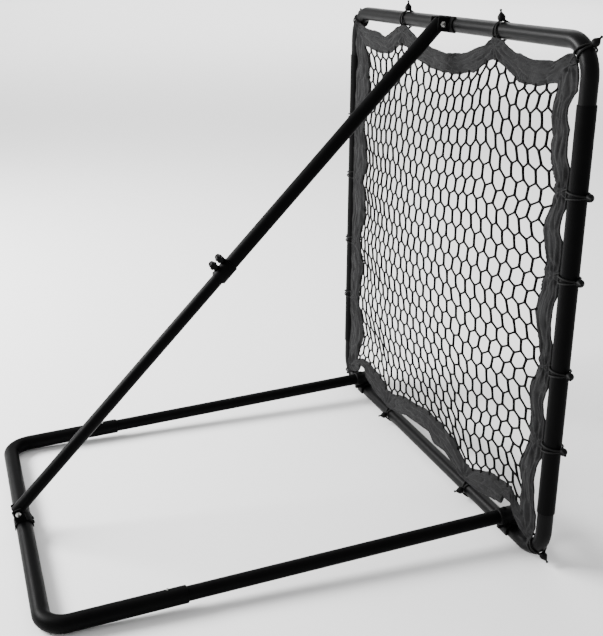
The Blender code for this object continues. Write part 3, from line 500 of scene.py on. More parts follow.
def hooks():
    bolt_back = 0.020
    for label, side in (("left", -1), ("right", 1)):
        x = side * arm_x
        y = front_in_base
        length = hook_back + hook_front
        rim = 0.0018
        profile = rounded(hook_radius, length, 0.0050)
        profile += [(hook_radius, rim), (hook_radius - rim, 0.0), (0.0, 0.0)]
        cup = turned_piece(f"{label}_hook", profile, base_plane @ forward(x, y + hook_back, 0.0), tube_sides)
        join(cup, rod("clip", clip_outer, clip_width, base_plane @ across(x, y, -arm_rise), tube_sides))
        web = block("web", (0.010, 0.036, 0.030), base_plane @ Matrix.Translation((x, y + 0.020, -0.0170)))
        join(cup, web)
        cut(cup, rod("bore", clip_inner, clip_width * 2, base_plane @ across(x, y, -arm_rise), tube_sides))
        below = Matrix.Translation((x, y, -arm_rise - clip_open_below - 0.020))
        cut(cup, block("below", (clip_width * 2, 0.08, 0.04), base_plane @ below))
        soften(cup, 0.0008, 6)
        bore_front = y - 0.0175
        bore_length = hook_back + 0.0175 + 0.02
        cut(cup, rod("bore", arm_radius + 0.0003, bore_length,
                     base_plane @ forward(x, bore_front + bore_length / 2, 0.0), tube_sides))
        fit(cup, nylon, "base", "black_plastic", f"{label}_arm_hook")
        head = 0.0032
        bolt_radius = 0.003
        bolt_end = -0.0085
        dome = [(0.0, head)] + [(0.0062 * math.sin(angle), head * math.cos(angle) ** 0.8)
                                for angle in (0.3, 0.6, 0.9, 1.15, 1.35, 1.5)] + [(0.0062, 0.0)]
        seat = base_plane @ Matrix.Translation((x, y + bolt_back, hook_radius + 0.0003))
        shank = [(bolt_radius, 0.0), (bolt_radius, bolt_end), (0.0, bolt_end)]
        bolt = turned_piece(f"{label}_hook_bolt_head", dome + shank, seat)
        cut(bolt, rod("socket", 0.0022, 0.0036, seat @ Matrix.Translation((0, 0, head)), 6))
        fit(bolt, coat, "base", "black_paint", f"{label}_hook_bolt")


hooks()


# ---- Net frame tubes ----------------------------------------------------------------------------
# Four steel tubes: a top and a bottom bar of 38 mm tube, each bent at both corners, whose legs plug into
# the two 42 mm side tubes. The sleeves' ends show as a small step on each upright.
frame_size = 1.200
frame_lean = 0.0162
corner_bend = 0.075
corner_radius = 0.019
side_radius = 0.021
sleeve_start = 0.125
sleeve_end = 1.075
plug_length = 0.080
frame_plane = Matrix.Translation(joints["frame_tilt"]["pos_m"]) @ Matrix.Rotation(frame_lean, 4, "X")


bar_coat = powder_coat("glossier_black_coat", 0.34, 0.44, 0.058)


def net_frame_tubes():
    half = frame_size / 2
    facing = Vector((0, 1, 0))
    bend_steps = 24
    for label, bar, inward, leg_end in (("top", frame_size, -1, sleeve_end - plug_length),
                                        ("bottom", 0.0, 1, sleeve_start + plug_length)):
        centre = (half - corner_bend, bar + inward * corner_bend)
        right = [(half, leg_end), (half, bar + inward * corner_bend)]
        right += arc_points(centre, corner_bend, 0, -90 * inward, bend_steps)
        flat = right + [(-x, z) for x, z in reversed(right)]
        path = [Vector((x, 0.0, z)) for x, z in flat]
        bar_tube = tube_piece(f"{label}_bar", path, facing, corner_radius, 0.0015, frame_plane)
        fit(bar_tube, bar_coat, "net_frame", "black_paint", f"{label}_corner_tube")
    for label, side in (("left", -1), ("right", 1)):
        path = [Vector((side * half, 0.0, sleeve_start)), Vector((side * half, 0.0, sleeve_end))]
        upright = tube_piece(f"{label}_upright", path, facing, side_radius, 0.0016, frame_plane)
        fit(upright, coat, "net_frame", "black_paint", f"{label}_side_tube")


net_frame_tubes()


# ---- Small screws -------------------------------------------------------------------------------
# Pan-head screws with a cross recess: a zinc-plated one through each sleeve end of the net frame, on the ball
# side, and two blackened ones that fix each bracket to its bar.
screw_head_radius = 0.0048
screw_shank_radius = 0.0024
screw_head_height = 0.0028


def pan_screw(name, length, place, body, cad_node, finish, slot):
    height = screw_head_height
    profile = rounded(screw_head_radius, height, height * 0.8) + [
        (screw_head_radius, 0.0), (screw_shank_radius, 0.0), (screw_shank_radius, -length), (0.0, -length)]
    screw = turned_piece(name, profile, place, 28)
    for turn in (0.4, 0.4 + math.pi / 2):
        slot_place = place @ Matrix.Rotation(turn, 4, "Z") @ Matrix.Translation((0, 0, height))
        cut(screw, block("recess", (0.0044, 0.0009, 0.0026), slot_place))
    fit(screw, finish, body, slot, cad_node)


def frame_screws():
    inset = 0.032
    for label, side in (("left", -1), ("right", 1)):
        for level, height in (("lower", sleeve_start + inset), ("upper", sleeve_end - inset)):
            seat = frame_plane @ forward(side * frame_size / 2, -side_radius - 0.0003, height)
            pan_screw(f"{label}_{level}_sleeve_screw", 0.008, seat, "net_frame",
                      f"{label}_{level}_frame_screw", zinc, "zinc_plate")


frame_screws()


# ---- Brackets and pivot bolts -------------------------------------------------------------------
# Each bracket is pressed from 3 mm steel: a saddle bent round the bar and two ears that the brace turns
# between. An M8 hex bolt with a nut goes through the ears, bright zinc against the black.
matt_coat = powder_coat("matt_black_coat", 0.62, 0.74, 0.03)
saddle_thickness = 0.003
ear_thickness = 0.003
pivot_radius = 0.004
top_pivot_in_frame = Vector((0, 0.0355, frame_size + 0.0013))
low_pivot_in_base = Vector((0, 0.0104, 0.0423))


def sheet_plate(name, outline, thickness, matrix):
    """A flat outline in the matrix's YZ plane, thickened evenly along X."""
    curve = bpy.data.curves.new(name, "CURVE")
    curve.dimensions = "2D"
    curve.fill_mode = "BOTH"
    curve.extrude = thickness / 2
    spline = curve.splines.new("POLY")
    spline.points.add(len(outline) - 1)
    for spot, point in zip(spline.points, outline):
        spot.co = (point[0], point[1], 0.0, 1.0)
    spline.use_cyclic_u = True
    source = bpy.data.objects.new(name, curve)
    bpy.context.scene.collection.objects.link(source)
    bpy.context.view_layer.update()
    mesh = bpy.data.meshes.new_from_object(source.evaluated_get(bpy.context.evaluated_depsgraph_get()))
    bpy.data.objects.remove(source, do_unlink=True)
    work = bmesh.new()
    work.from_mesh(mesh)
    bmesh.ops.remove_doubles(work, verts=work.verts, dist=0.00001)
    bmesh.ops.recalc_face_normals(work, faces=work.faces)
    upright = Matrix(((0, 0, 1, 0), (1, 0, 0, 0), (0, 1, 0, 0), (0, 0, 0, 1)))
    return to_object(name, work, matrix @ upright)


def whole_arc(centre, radius, start, stop, steps):
    first = math.radians(start)
    return [(centre[0] + radius * math.cos(first), centre[1] + radius * math.sin(first))] + arc_points(
        centre, radius, start, stop, steps)


def break_edges(piece, width):
    """Bevel a pressed or machined piece's edges."""
    bevel = piece.modifiers.new("edges", "BEVEL")
    bevel.width = width
    bevel.segments = 2
    bevel.limit_method = "ANGLE"
    bevel.angle_limit = math.radians(40)
    bevel.harden_normals = False
    return settle(piece)


def pressed_bracket(name, plane, bar, radius, faces, wrap, half_width, pivot, ear, ear_top, ear_half):
    """A saddle bent round the bar, with two ears that reach a little beyond the pivot."""
    inner = radius + 0.0004
    outer = inner + saddle_thickness
    corner = 0.004
    outline = whole_arc(bar, outer, faces - wrap, faces + wrap, 40)
    outline += whole_arc(bar, inner, faces + wrap, faces - wrap, 40)
    body = sheet_plate(name, outline, 2 * half_width, plane)
    break_edges(body, 0.0007)
    beyond = math.atan2(pivot[1] - bar[1], pivot[0] - bar[0])
    foot = (inner + outer) / 2
    spread = math.degrees(math.asin(ear_half / foot))
    ear_outline = whole_arc(bar, foot, math.degrees(beyond) + spread, math.degrees(beyond) - spread, 12)
    turn = Matrix.Rotation(beyond, 2)
    for side, start in ((-1, -90), (1, 0)):
        middle = (ear_top - corner, side * (ear_half - corner))
        for along, aside in whole_arc(middle, corner, start, start + 90, 6):
            ear_outline.append(tuple(Vector(pivot) + turn @ Vector((along, aside))))
    for side in (-1, 1):
        place = plane @ Matrix.Translation((side * (ear + ear_thickness / 2), 0, 0))
        tab = sheet_plate("ear", ear_outline, ear_thickness, place)
        break_edges(tab, 0.0005)
        join(body, tab)
    cut(body, rod("pivot_hole", pivot_radius + 0.0003, 0.060, plane @ across(0, *pivot)))
    return body


def hex_head(name, across_flats, height, matrix):
    """A hexagon whose outer corners are turned off at 30 degrees."""
    corner = across_flats / math.sqrt(3)
    head = rod(name, corner, height, matrix, 6)
    profile = [(0.0, height / 2), (across_flats * 0.47, height / 2), (corner * 1.04, height / 2 - 0.0011),
               (corner * 1.04, -height / 2), (0.0, -height / 2)]
    turned = turned_piece("turning", profile, matrix, 48)
    change = head.modifiers.new("turn", "BOOLEAN")
    change.operation = "INTERSECT"
    change.object = turned
    settle(head)
    bpy.data.objects.remove(turned, do_unlink=True)
    return head


def threaded(radius, length, pitch=0.00125, smooth=0.0):
    """A thread's profile from its tip down, as even ridges, with a plain shank after the smooth start."""
    spots = [(0.0, length), (radius * 0.80, length), (radius * 0.92, length - pitch * 0.4)]
    height = length - pitch * 0.4
    while height - pitch > smooth:
        spots += [(radius, height - pitch * 0.4), (radius * 0.87, height - pitch * 0.9)]
        height -= pitch
    return spots + [(radius, height - pitch * 0.2)]


def pivot_bolt(prefix, body, plane, pivot, ear):
    """The bolt, with its head on the left, and its nut on the right."""
    face = ear + ear_thickness + 0.0003
    head_height = 0.0053
    nut_height = 0.0065
    end = face + nut_height + 0.0025
    left = across(-face - head_height / 2, *pivot) @ Matrix.Rotation(math.pi, 4, "X")
    bolt = hex_head(f"{prefix}_hex_bolt", 0.013, head_height, plane @ left)
    shank = threaded(pivot_radius, end, smooth=face) + [(pivot_radius, -face - 0.001), (0.0, -face - 0.001)]
    join(bolt, turned_piece("shank", shank, plane @ across(0, *pivot), 24))
    fit(bolt, zinc, body, "zinc_plate", f"{prefix}_pivot_bolt")
    nut = hex_head(f"{prefix}_hex_nut", 0.013, nut_height, plane @ across(face + nut_height / 2, *pivot))
    cut(nut, rod("thread", pivot_radius + 0.0003, 0.02, plane @ across(face, *pivot)))
    fit(nut, zinc, body, "zinc_plate", f"{prefix}_pivot_nut")


def bracket_screws(prefix, body, plane, bar, radius, faces, screw_x):
    out = Vector((0, math.cos(math.radians(faces)), math.sin(math.radians(faces))))
    reach = radius + 0.0004 + saddle_thickness + 0.0003
    for label, x in (("left", -screw_x), ("right", screw_x)):
        turn = out.to_track_quat("Z", "Y").to_matrix().to_4x4()
        seat = Matrix.Translation(Vector((x, *bar)) + out * reach) @ turn
        pan_screw(f"{prefix}_{label}_screw", 0.009, plane @ seat, body, f"{prefix}_bracket_{label}_screw",
                  matt_coat, "black_paint")


def brackets():
    for (prefix, body, plane, bar, radius, faces, wrap, half_width,
         pivot, ear, ear_size, screw_x, screw_side) in (
            ("top", "net_frame", frame_plane, (0.0, frame_size), corner_radius, 0, 65, 0.042,
             (top_pivot_in_frame.y, top_pivot_in_frame.z), 0.0185, (0.0120, 0.0175), 0.032, 0),
            ("lower", "base", base_plane, (0.0, 0.0), base_tube_radius, 90, 95, 0.0235,
             (low_pivot_in_base.y, low_pivot_in_base.z), 0.0166, (0.0115, 0.0140), 0.010, 168)):
        bracket = pressed_bracket(f"{prefix}_saddle", plane, bar, radius, faces, wrap, half_width, pivot, ear,
                                  *ear_size)
        fit(bracket, matt_coat, body, "black_paint", f"{prefix}_bracket")
        pivot_bolt(prefix, body, plane, pivot, ear)
        bracket_screws(prefix, body, plane, bar, radius, screw_side, screw_x)


brackets()


# ---- Brace tubes --------------------------------------------------------------------------------
# A 32 mm tube slides in a 36 mm one, so the brace's length sets the net's lean. Both are powder coated. The
# upper tube is coped at its top end to clear the bar as it swings.
lower_pivot = Vector(joints["lower_brace_swing"]["pos_m"])
upper_pivot = Vector(joints["upper_brace_swing"]["pos_m"])
brace_length = (upper_pivot - lower_pivot).length
brace_rise = math.atan2(upper_pivot.z - lower_pivot.z, lower_pivot.y - upper_pivot.y)
brace_lean = Matrix.Rotation(math.pi / 2 - brace_rise, 4, "X")
lower_brace_line = Matrix.Translation(lower_pivot) @ brace_lean
upper_brace_line = Matrix.Translation(upper_pivot) @ brace_lean
mouth = 0.790


def brace_tubes():
    sideways = Vector((1, 0, 0))
    path = [Vector((0, 0, -0.006)), Vector((0, 0, 1.070))]
    lower = tube_piece("lower_brace", path, sideways, 0.016, 0.0016, lower_brace_line)
    cut(lower, rod("pivot_hole", pivot_radius + 0.0003, 0.060, lower_brace_line @ across(0, 0, 0)))
    fit(lower, coat, "lower_brace", "black_paint", "lower_brace_tube")
    path = [Vector((0, 0, mouth - brace_length)), Vector((0, 0, 0.005))]
    upper = tube_piece("upper_brace", path, sideways, 0.018, 0.0008, upper_brace_line)
    cope = 0.0232
    bar = Matrix.Rotation(frame_lean - (math.pi / 2 - brace_rise), 4, "X") @ (
        Vector((0, 0, frame_size)) - top_pivot_in_frame)
    for swing in (-6, -2, 2, 6, 10, 13):
        spot = Matrix.Rotation(math.radians(swing), 4, "X") @ bar
        cut(upper, rod("cope", cope, 0.060, upper_brace_line @ across(0, spot.y, spot.z), tube_sides))
    cut(upper, rod("pivot_hole", pivot_radius + 0.0003, 0.060, upper_brace_line @ across(0, 0, 0)))
    fit(upper, coat, "upper_brace", "black_paint", "upper_brace_tube")


brace_tubes()


# ---- Clamp collar and star knobs ----------------------------------------------------------------
# A split steel ring sits at the mouth of the upper tube, with two pairs of round lugs. A moulded star knob
# draws each pair together to lock the brace, by a stud that runs through the lugs into a zinc hex nut.
collar_start = 0.793
collar_length = 0.050
collar_inner = 0.0184
collar_outer = 0.0208
lug_half = 0.0083
split_half = 0.0012
lug_inner = 0.0015
lug_outer = 0.0045
knob_out = 0.0375
knob_distances = (0.810, 0.834)
stud_radius = 0.003


def clamp_collar():
    split = math.degrees(math.asin(split_half / collar_inner))
    outer_split = math.degrees(math.asin(split_half / collar_outer))
    outline = whole_arc((0, 0), collar_inner, 90 + split, 450 - split, 64)
    outline += whole_arc((0, 0), collar_outer, 450 - outer_split, 90 + outer_split, 64)
    middle = collar_start + collar_length / 2 - brace_length
    lie = Matrix(((0, 1, 0, 0), (0, 0, 1, 0), (1, 0, 0, 0), (0, 0, 0, 1)))
    collar = sheet_plate("brace_collar", outline, collar_length,
                         upper_brace_line @ Matrix.Translation((0, 0, middle)) @ lie)
    break_edges(collar, 0.0005)
    root = (collar_inner + collar_outer) / 2
    lug_middle = (lug_inner + lug_outer) / 2
    for distance in knob_distances:
        along = distance - brace_length
        tip = whole_arc((knob_out, along), lug_half, -90, 90, 24)
        for side in (-1, 1):
            lug = sheet_plate("lug", tip + [(root, along + lug_half), (root, along - lug_half)],
                              lug_outer - lug_inner,
                              upper_brace_line @ Matrix.Translation((side * lug_middle, 0, 0)))
            break_edges(lug, 0.0005)
            join(collar, lug)
        stud_line = upper_brace_line @ across(0, knob_out, along)
        cut(collar, rod("stud_hole", stud_radius + 0.0003, 0.02, stud_line))
    fit(collar, coat, "upper_brace", "black_paint", "clamp_collar")


clamp_collar()


def star_knob(name, body, place, cad_node, turn):
    """A six-lobed knob with a rounded rim, a dished face and a hub, on its threaded stud."""
    lobes = 6
    steps = 96
    face = -lug_outer - 0.0003
    hub = 0.0030
    thickness = 0.0110
    back = face - hub
    front = back - thickness
    layers = [(back, 0.55, 0.0), (back, 0.86, 0.5), (back - 0.0007, 0.95, 0.9), (back - 0.0020, 1.0, 1.0),
              (front + 0.0028, 1.0, 1.0), (front + 0.0011, 0.96, 0.95), (front + 0.0002, 0.87, 0.7),
              (front, 0.74, 0.3), (front, 0.60, 0.0), (front + 0.0010, 0.54, 0.0),
              (front + 0.0010, 0.30, 0.0)]
    work = bmesh.new()
    rings = []
    for x, share, wave in layers:
        ring = []
        for step in range(steps):
            angle = 2 * math.pi * step / steps
            lobe = (0.5 + 0.5 * math.cos(lobes * (angle - turn))) ** 0.7
            reach = share * (0.0111 - wave * 0.0030 * (1 - lobe))
            ring.append(work.verts.new((x, reach * math.cos(angle), reach * math.sin(angle))))
        rings.append(ring)
    bridge(work, rings, False)
    work.faces.new(rings[0])
    work.faces.new(rings[-1])
    bmesh.ops.recalc_face_normals(work, faces=work.faces)
    knob = to_object(name, work, place)
    join(knob, rod("hub", 0.0060, hub + 0.001, place @ across(face - (hub + 0.001) / 2, 0, 0), 32))
    stud_end = lug_outer + 0.0075
    stud = threaded(stud_radius, stud_end, 0.001, smooth=face)
    stud += [(stud_radius, face - 0.004), (0.0, face - 0.004)]
    join(knob, turned_piece("stud", stud, place @ across(0, 0, 0), 20))
    fit(knob, nylon, body, "black_plastic", cad_node)


def knobs():
    for label, distance, turn in (("lower", knob_distances[0], 0.35), ("upper", knob_distances[1], 0.05)):
        place = upper_brace_line @ Matrix.Translation((0, knob_out, distance - brace_length))
        star_knob(f"{label}_knob_grip", f"{label}_knob", place, f"{label}_star_knob", turn)
        height = 0.0050
        nut_place = place @ across(lug_outer + 0.0003 + height / 2, 0, 0)
        nut = hex_head(f"{label}_stud_nut", 0.010, height, nut_place)
        cut(nut, rod("thread", stud_radius + 0.0003, 0.02, nut_place))
        fit(nut, zinc, "upper_brace", "zinc_plate", f"{label}_knob_nut")


knobs()


# ---- Band round the net -------------------------------------------------------------------------
# A doubled strip of dark grey woven polyester, about 60 mm wide, runs round the net and is sewn along both
# edges. The ties pull it outwards, so it hangs in scallops, gathered and creased between them.
band_rear = 0.015
tie_x = 0.250
tie_heights = (0.296, 0.484, 0.701, 0.887)
tie_tip = 0.036
half_frame = frame_size / 2
band_cloth_half = 0.0013
foot_ties = (-arm_x, -tie_x, tie_x, arm_x)

# How far each edge lies inside the tube's axis, in mm, at places along its side in mm. Most of the turning
# points were picked and rounded by hand from the light gaps beside the band, which a script measured on the
# photograph through the solved camera. The corners and the arches over the two hooks were set one by one. A
# side's places start at the frame's foot, and a bar's at its middle. Near the ties the outer edge lies
# against the tube, and between them it hangs away from it.
side_outer = (
    (26, 26), (60, 18), (95, 20), (150, 31), (195, 38), (225, 33), (262, 20), (345, 20), (400, 30),
    (440, 20), (535, 20), (585, 31), (620, 29), (660, 20), (780, 20), (802, 30), (822, 29), (858, 20),
    (935, 20), (980, 32), (1020, 31), (1050, 43), (1065, 42), (1108, 17), (1174, 26))
left_inner = (
    (92, 92), (150, 92), (200, 109), (285, 78), (345, 80), (410, 96), (475, 66), (515, 67), (600, 99),
    (700, 77), (730, 76), (795, 102), (865, 69), (905, 69), (960, 98), (1005, 96), (1045, 106),
    (1108, 92))
right_inner = (
    (92, 92), (200, 138), (290, 90), (330, 88), (415, 117), (500, 85), (600, 121), (640, 119),
    (690, 97), (770, 125), (840, 99), (890, 97), (970, 120), (1040, 124), (1108, 92))
top_outer = (
    (-574, 26), (-545, 26), (-490, 47), (-400, 49), (-345, 43), (-262, 16), (-232, 16), (-195, 38),
    (-90, 64), (-15, 69), (60, 65), (140, 48), (238, 17), (264, 17), (368, 54), (425, 43), (480, 42),
    (574, 26))
top_inner = (
    (-508, 92), (-420, 106), (-370, 107), (-255, 67), (-225, 69), (-150, 104), (-40, 121), (60, 118),
    (150, 103), (245, 70), (262, 72), (350, 101), (400, 105), (508, 92))
bottom_outer = (
    (-574, 26), (-525, 38), (-490, 56), (-479, 80), (-441, 80), (-430, 56), (-385, 47), (-300, 28),
    (-225, 26), (-125, 53), (-62, 48), (-25, 69), (20, 64), (120, 54), (190, 34), (250, 25), (330, 32),
    (395, 46), (430, 56), (441, 80), (479, 80), (490, 56), (525, 38), (574, 26))
bottom_inner = (
    (-508, 92), (-462, 122), (-380, 114), (-258, 73), (-235, 78), (-150, 115), (-60, 126), (0, 127),
    (70, 116), (130, 108), (245, 77), (265, 78), (340, 105), (450, 112), (508, 92))
band_edges = {
    "top": (top_outer, top_inner, (-tie_x, tie_x)),
    "right": (side_outer, right_inner, tie_heights),
    "bottom": (bottom_outer, bottom_inner, foot_ties),
    "left": (side_outer, left_inner, tie_heights),
}


def edge_depth(edge, place):
    """An edge's distance from the tube's axis at a place along its side, eased between the points."""
    index = sum(1 for start, _ in edge[1:-1] if place > start / 1000)
    (start, first), (end, last) = edge[index], edge[index + 1]
    share = min(1.0, max(0.0, (place * 1000 - start) / (end - start)))
    share = 0.45 * share + 0.55 * share * share * (3 - 2 * share)
    return (first + (last - first) * share) / 1000


def in_frame(side, place, depth):
    """Frame coordinates of a point that is given along a side and inwards from its axis."""
    if side == "top":
        return place, frame_size - depth
    if side == "bottom":
        return place, depth
    sign = -1 if side == "left" else 1
    return sign * (half_frame - depth), place


def band_ties():
    """Every tie's place in the frame, the way out, its tube's radius, its ball's turn and its tail's turn."""
    corner_reach = half_frame - corner_bend * (1 - math.sqrt(0.5))
    ties = []
    for side_name, side in (("left", -1), ("right", 1)):
        turn = 10 if side_name == "left" else 2
        top = Vector((side * tie_x, frame_size))
        ties.append((f"top_{side_name}", top, Vector((0, 1)), corner_radius, turn, turn))
        bottom = Vector((side * tie_x, 0.0))
        ties.append((f"bottom_{side_name}", bottom, Vector((0, -1)), corner_radius, 90, 90))
        for level_name, level in (("bottom", -1), ("top", 1)):
            spot = Vector((side * corner_reach, half_frame + level * corner_reach))
            way = Vector((side, level)).normalized()
            ties.append((f"{level_name}_{side_name}_corner", spot, way, corner_radius, -14, -14))
        for number, (height, turn) in enumerate(zip(tie_heights, (-18, -9, -12, -16)), start=1):
            spot = Vector((side * half_frame, height))
            ties.append((f"{side_name}_{number}", spot, Vector((side, 0)), side_radius, turn, turn + 38))
    return ties


ties = band_ties()


def woven_band():
    """Grey polyester: a plain weave, heathered threads, paler where creases rub."""
    cloth, tree, link, shader, place = new_finish("grey_woven_band")
    thread = {"Scale": 290.0, "Distortion": 0.6, "Detail": 1.0}
    warp = node(tree, "ShaderNodeTexWave", thread, bands_direction="X")
    weft = node(tree, "ShaderNodeTexWave", thread, bands_direction="Z")
    heather = node(tree, "ShaderNodeTexNoise", {"Scale": 420.0, "Detail": 6.0, "Roughness": 0.7})
    wear = node(tree, "ShaderNodeTexNoise", {"Scale": 28.0, "Detail": 6.0, "Roughness": 0.66})
    for texture in (warp, weft, heather, wear):
        link(place.outputs["Object"], texture.inputs["Vector"])
    weave = node(tree, "ShaderNodeMath", operation="MAXIMUM")
    link(warp.outputs["Fac"], weave.inputs[0])
    link(weft.outputs["Fac"], weave.inputs[1])
    tint = node(tree, "ShaderNodeValToRGB")
    tint.color_ramp.elements[0].position = 0.30
    tint.color_ramp.elements[0].color = (0.0040, 0.0040, 0.0042, 1.0)
    tint.color_ramp.elements[1].position = 0.72
    tint.color_ramp.elements[1].color = (0.0165, 0.0165, 0.0170, 1.0)
    mixed = node(tree, "ShaderNodeMix", {"Factor": 0.45}, data_type="FLOAT")
    link(wear.outputs["Fac"], mixed.inputs[2])
    link(heather.outputs["Fac"], mixed.inputs[3])
    link(mixed.outputs[0], tint.inputs["Fac"])
    threads = node(tree, "ShaderNodeMix", data_type="RGBA", blend_type="MULTIPLY")
    threads.inputs[0].default_value = 0.35
    link(tint.outputs["Color"], threads.inputs[6])
    link(weave.outputs["Value"], threads.inputs[7])
    link(threads.outputs[2], shader.inputs["Base Color"])
    raise_surface(tree, weave.outputs["Value"], 0.45, 0.0004)
    shader.inputs["Roughness"].default_value = 0.88
    shader.inputs["Specular IOR Level"].default_value = 0.08
    shader.inputs["Sheen Weight"].default_value = 0.03
    shader.inputs["Sheen Roughness"].default_value = 0.5
    return cloth


band_cloth = woven_band()


def to_tube(x, z):
    """How far a point of the frame's plane is from the tubes' axis."""
    reach_x = abs(x) - (half_frame - corner_bend)
    reach_z = abs(z - half_frame) - (half_frame - corner_bend)
    if reach_x > 0 and reach_z > 0:
        return abs(math.hypot(reach_x, reach_z) - corner_bend)
    return abs(max(reach_x, reach_z) - corner_bend)


def rise(value, low, high):
    """A smooth step from 0 to 1."""
    share = min(1.0, max(0.0, (value - low) / (high - low)))
    return share * share * (3 - 2 * share)


def long_folds(share, run):
    """Soft rolls that run along the band and wander over its width."""
    wander = share + 0.17 * noise.noise(Vector((run * 7.0, 3.1, 0.0))) + 0.05 * noise.noise(
        Vector((run * 26.0, share * 3.0, 4.0)))
    height = 0.0
    for number, (place, width) in enumerate(((0.20, 0.085), (0.48, 0.105), (0.80, 0.080))):
        strength = 0.45 + 0.75 * noise.noise(Vector((run * 10.0, number * 17.0, 9.0)))
        height += 0.0060 * strength * math.exp(-((wander - place) / width) ** 2)
    crease = 1 - 2.2 * abs(noise.noise(Vector((run * 13.0, share * 4.2, 21.0))))
    wrinkle = noise.noise(Vector((run * 38.0, share * 9.0, 12.0)))
    return height - 0.0036 * max(0.0, crease) ** 4 + 0.0016 * wrinkle


def puckers(share, run):
    """Short gathers across the hems, in patches where the stitching drew the cloth up."""
    patch = rise(noise.noise(Vector((run * 9.0, 5.0, 31.0))), -0.05, 0.30)
    wave = math.sin(2 * math.pi * run / 0.0095 + 3.5 * noise.noise(Vector((run * 31.0, 0.0, 2.0))))
    return (0.0017 * patch * share ** 3 + 0.0012 * (1 - patch) * (1 - share) ** 5) * wave


def tie_creases(x, z, near_ties):
    """Creases that fan out from the ties, where the cord pulls the band."""
    height = 0.0
    for tip, phase in near_ties:
        across = x - tip.x
        up = z - tip.y
        distance = math.hypot(across, up)
        if 0.002 < distance < 0.110:
            fade = (1 - distance / 0.110) ** 1.5 * min(1.0, distance / 0.014)
            height += 0.0030 * fade * math.sin(9 * math.atan2(up, across) + phase)
    return height


def band_columns():
    """The band's columns round the frame: outer point, inner point and distance run, in frame coordinates."""
    columns = []
    run = 0.0
    spacing = 0.0032
    for side, direction in (("top", 1), ("right", -1), ("bottom", -1), ("left", 1)):
        outer_edge, inner_edge, tied = band_edges[side]
        outer_stops = [outer_edge[0][0] / 1000, *tied, outer_edge[-1][0] / 1000][::direction]
        inner_stops = [inner_edge[0][0] / 1000, *tied, inner_edge[-1][0] / 1000][::direction]
        for index in range(len(outer_stops) - 1):
            outer_way = outer_stops[index + 1] - outer_stops[index]
            inner_way = inner_stops[index + 1] - inner_stops[index]
            count = max(4, round(abs(outer_way) / spacing))
            for step in range(count):
                outer_place = outer_stops[index] + outer_way * step / count
                inner_place = inner_stops[index] + inner_way * step / count
                outer = Vector(in_frame(side, outer_place, edge_depth(outer_edge, outer_place)))
                inner = Vector(in_frame(side, inner_place, edge_depth(inner_edge, inner_place)))
                if columns:
                    run += (outer - columns[-1][0]).length
                columns.append((outer, inner, run))
    return columns


def band_section(share):
    """Half the band's thickness across its width: corded hems, a stitched groove by each, a full middle."""
    hem = 0.0021
    edge = min(share, 1 - share)
    if edge < 0.075:
        return 0.0004 + hem * math.sqrt(max(0.0, 1 - ((edge - 0.045) / 0.046) ** 2))
    if edge < 0.11:
        return 0.0007
    return band_cloth_half + 0.0030 * math.sin(math.pi * (edge - 0.11) / 0.78) ** 0.8


def net_band():
    lanes = 30
    tips = [(tie - way * tie_tip, 9 * noise.noise(Vector((tie.x, tie.y, 0.0)))) for _, tie, way, *_ in ties]
    work = bmesh.new()
    rings = []
    for outer, inner, run in band_columns():
        near_ties = [(tip, phase) for tip, phase in tips if (outer - tip).length < 0.20]
        slack = 0.25 + 0.75 * min([1.0] + [(outer - tip).length / 0.05 for tip, _ in near_ties])
        width = (inner - outer).length
        hugs = 1 - rise(to_tube(*outer), 0.0205, 0.0245)
        hem_wave = 0.0020 * noise.noise(Vector((run * 16.0, 2.0, 5.0))) + 0.0020 * noise.noise(
            Vector((run * 52.0, 2.0, 8.0)))
        net_wave = 0.0024 * noise.noise(Vector((run * 15.0, 7.0, 1.0))) + 0.0026 * noise.noise(
            Vector((run * 48.0, 7.0, 3.0)))
        outer_spot = outer.lerp(inner, hem_wave / width * slack)
        inner_spot = inner.lerp(outer, net_wave / width)
        heights = []
        for lane in range(lanes + 1):
            share = lane / lanes
            spot = outer_spot.lerp(inner_spot, share)
            calm = rise(share, -0.04, 0.22)
            lift = (long_folds(share, run) + puckers(share, run)) * slack
            lift = (lift + tie_creases(spot.x, spot.y, near_ties)) * calm - 0.003 * share
            rear = band_rear + lift - 0.0032 * hugs * (1 - share) ** 3
            half = band_section(share)
            clear = to_tube(spot.x, spot.y)
            tube_rear = side_radius + 0.0004 + half
            if clear < tube_rear:
                rear = max(rear, math.sqrt(tube_rear ** 2 - clear ** 2))
            heights.append((spot, rear, half))
        ring = [work.verts.new((spot.x, rear + half, spot.y)) for spot, rear, half in heights]
        ring += [work.verts.new((spot.x, rear - half, spot.y)) for spot, rear, half in reversed(heights)]
        rings.append(ring)
    bridge(work, rings, True)
    bmesh.ops.recalc_face_normals(work, faces=work.faces)
    if work.calc_volume(signed=True) < 0:
        bmesh.ops.reverse_faces(work, faces=work.faces)
    band = to_object("net_band", work, frame_plane, math.radians(180))
    fit(band, band_cloth, "net_frame", "band_fabric", "band_top", "band_bottom", "band_left", "band_right")
    return band


band = net_band()


# ---- Net ----------------------------------------------------------------------------------------
# Black polyester twine, knotted into upright hexagons about 42 mm wide and laced to the inner edge of the
# band. It bellies some 45 mm to the rear, and its upright sides are two strands laid together.
net_columns = 24
net_rows = 25
net_bulge = 0.045
upright_radius = 0.0036
slanting_radius = 0.0029
knot_radius = 0.0042


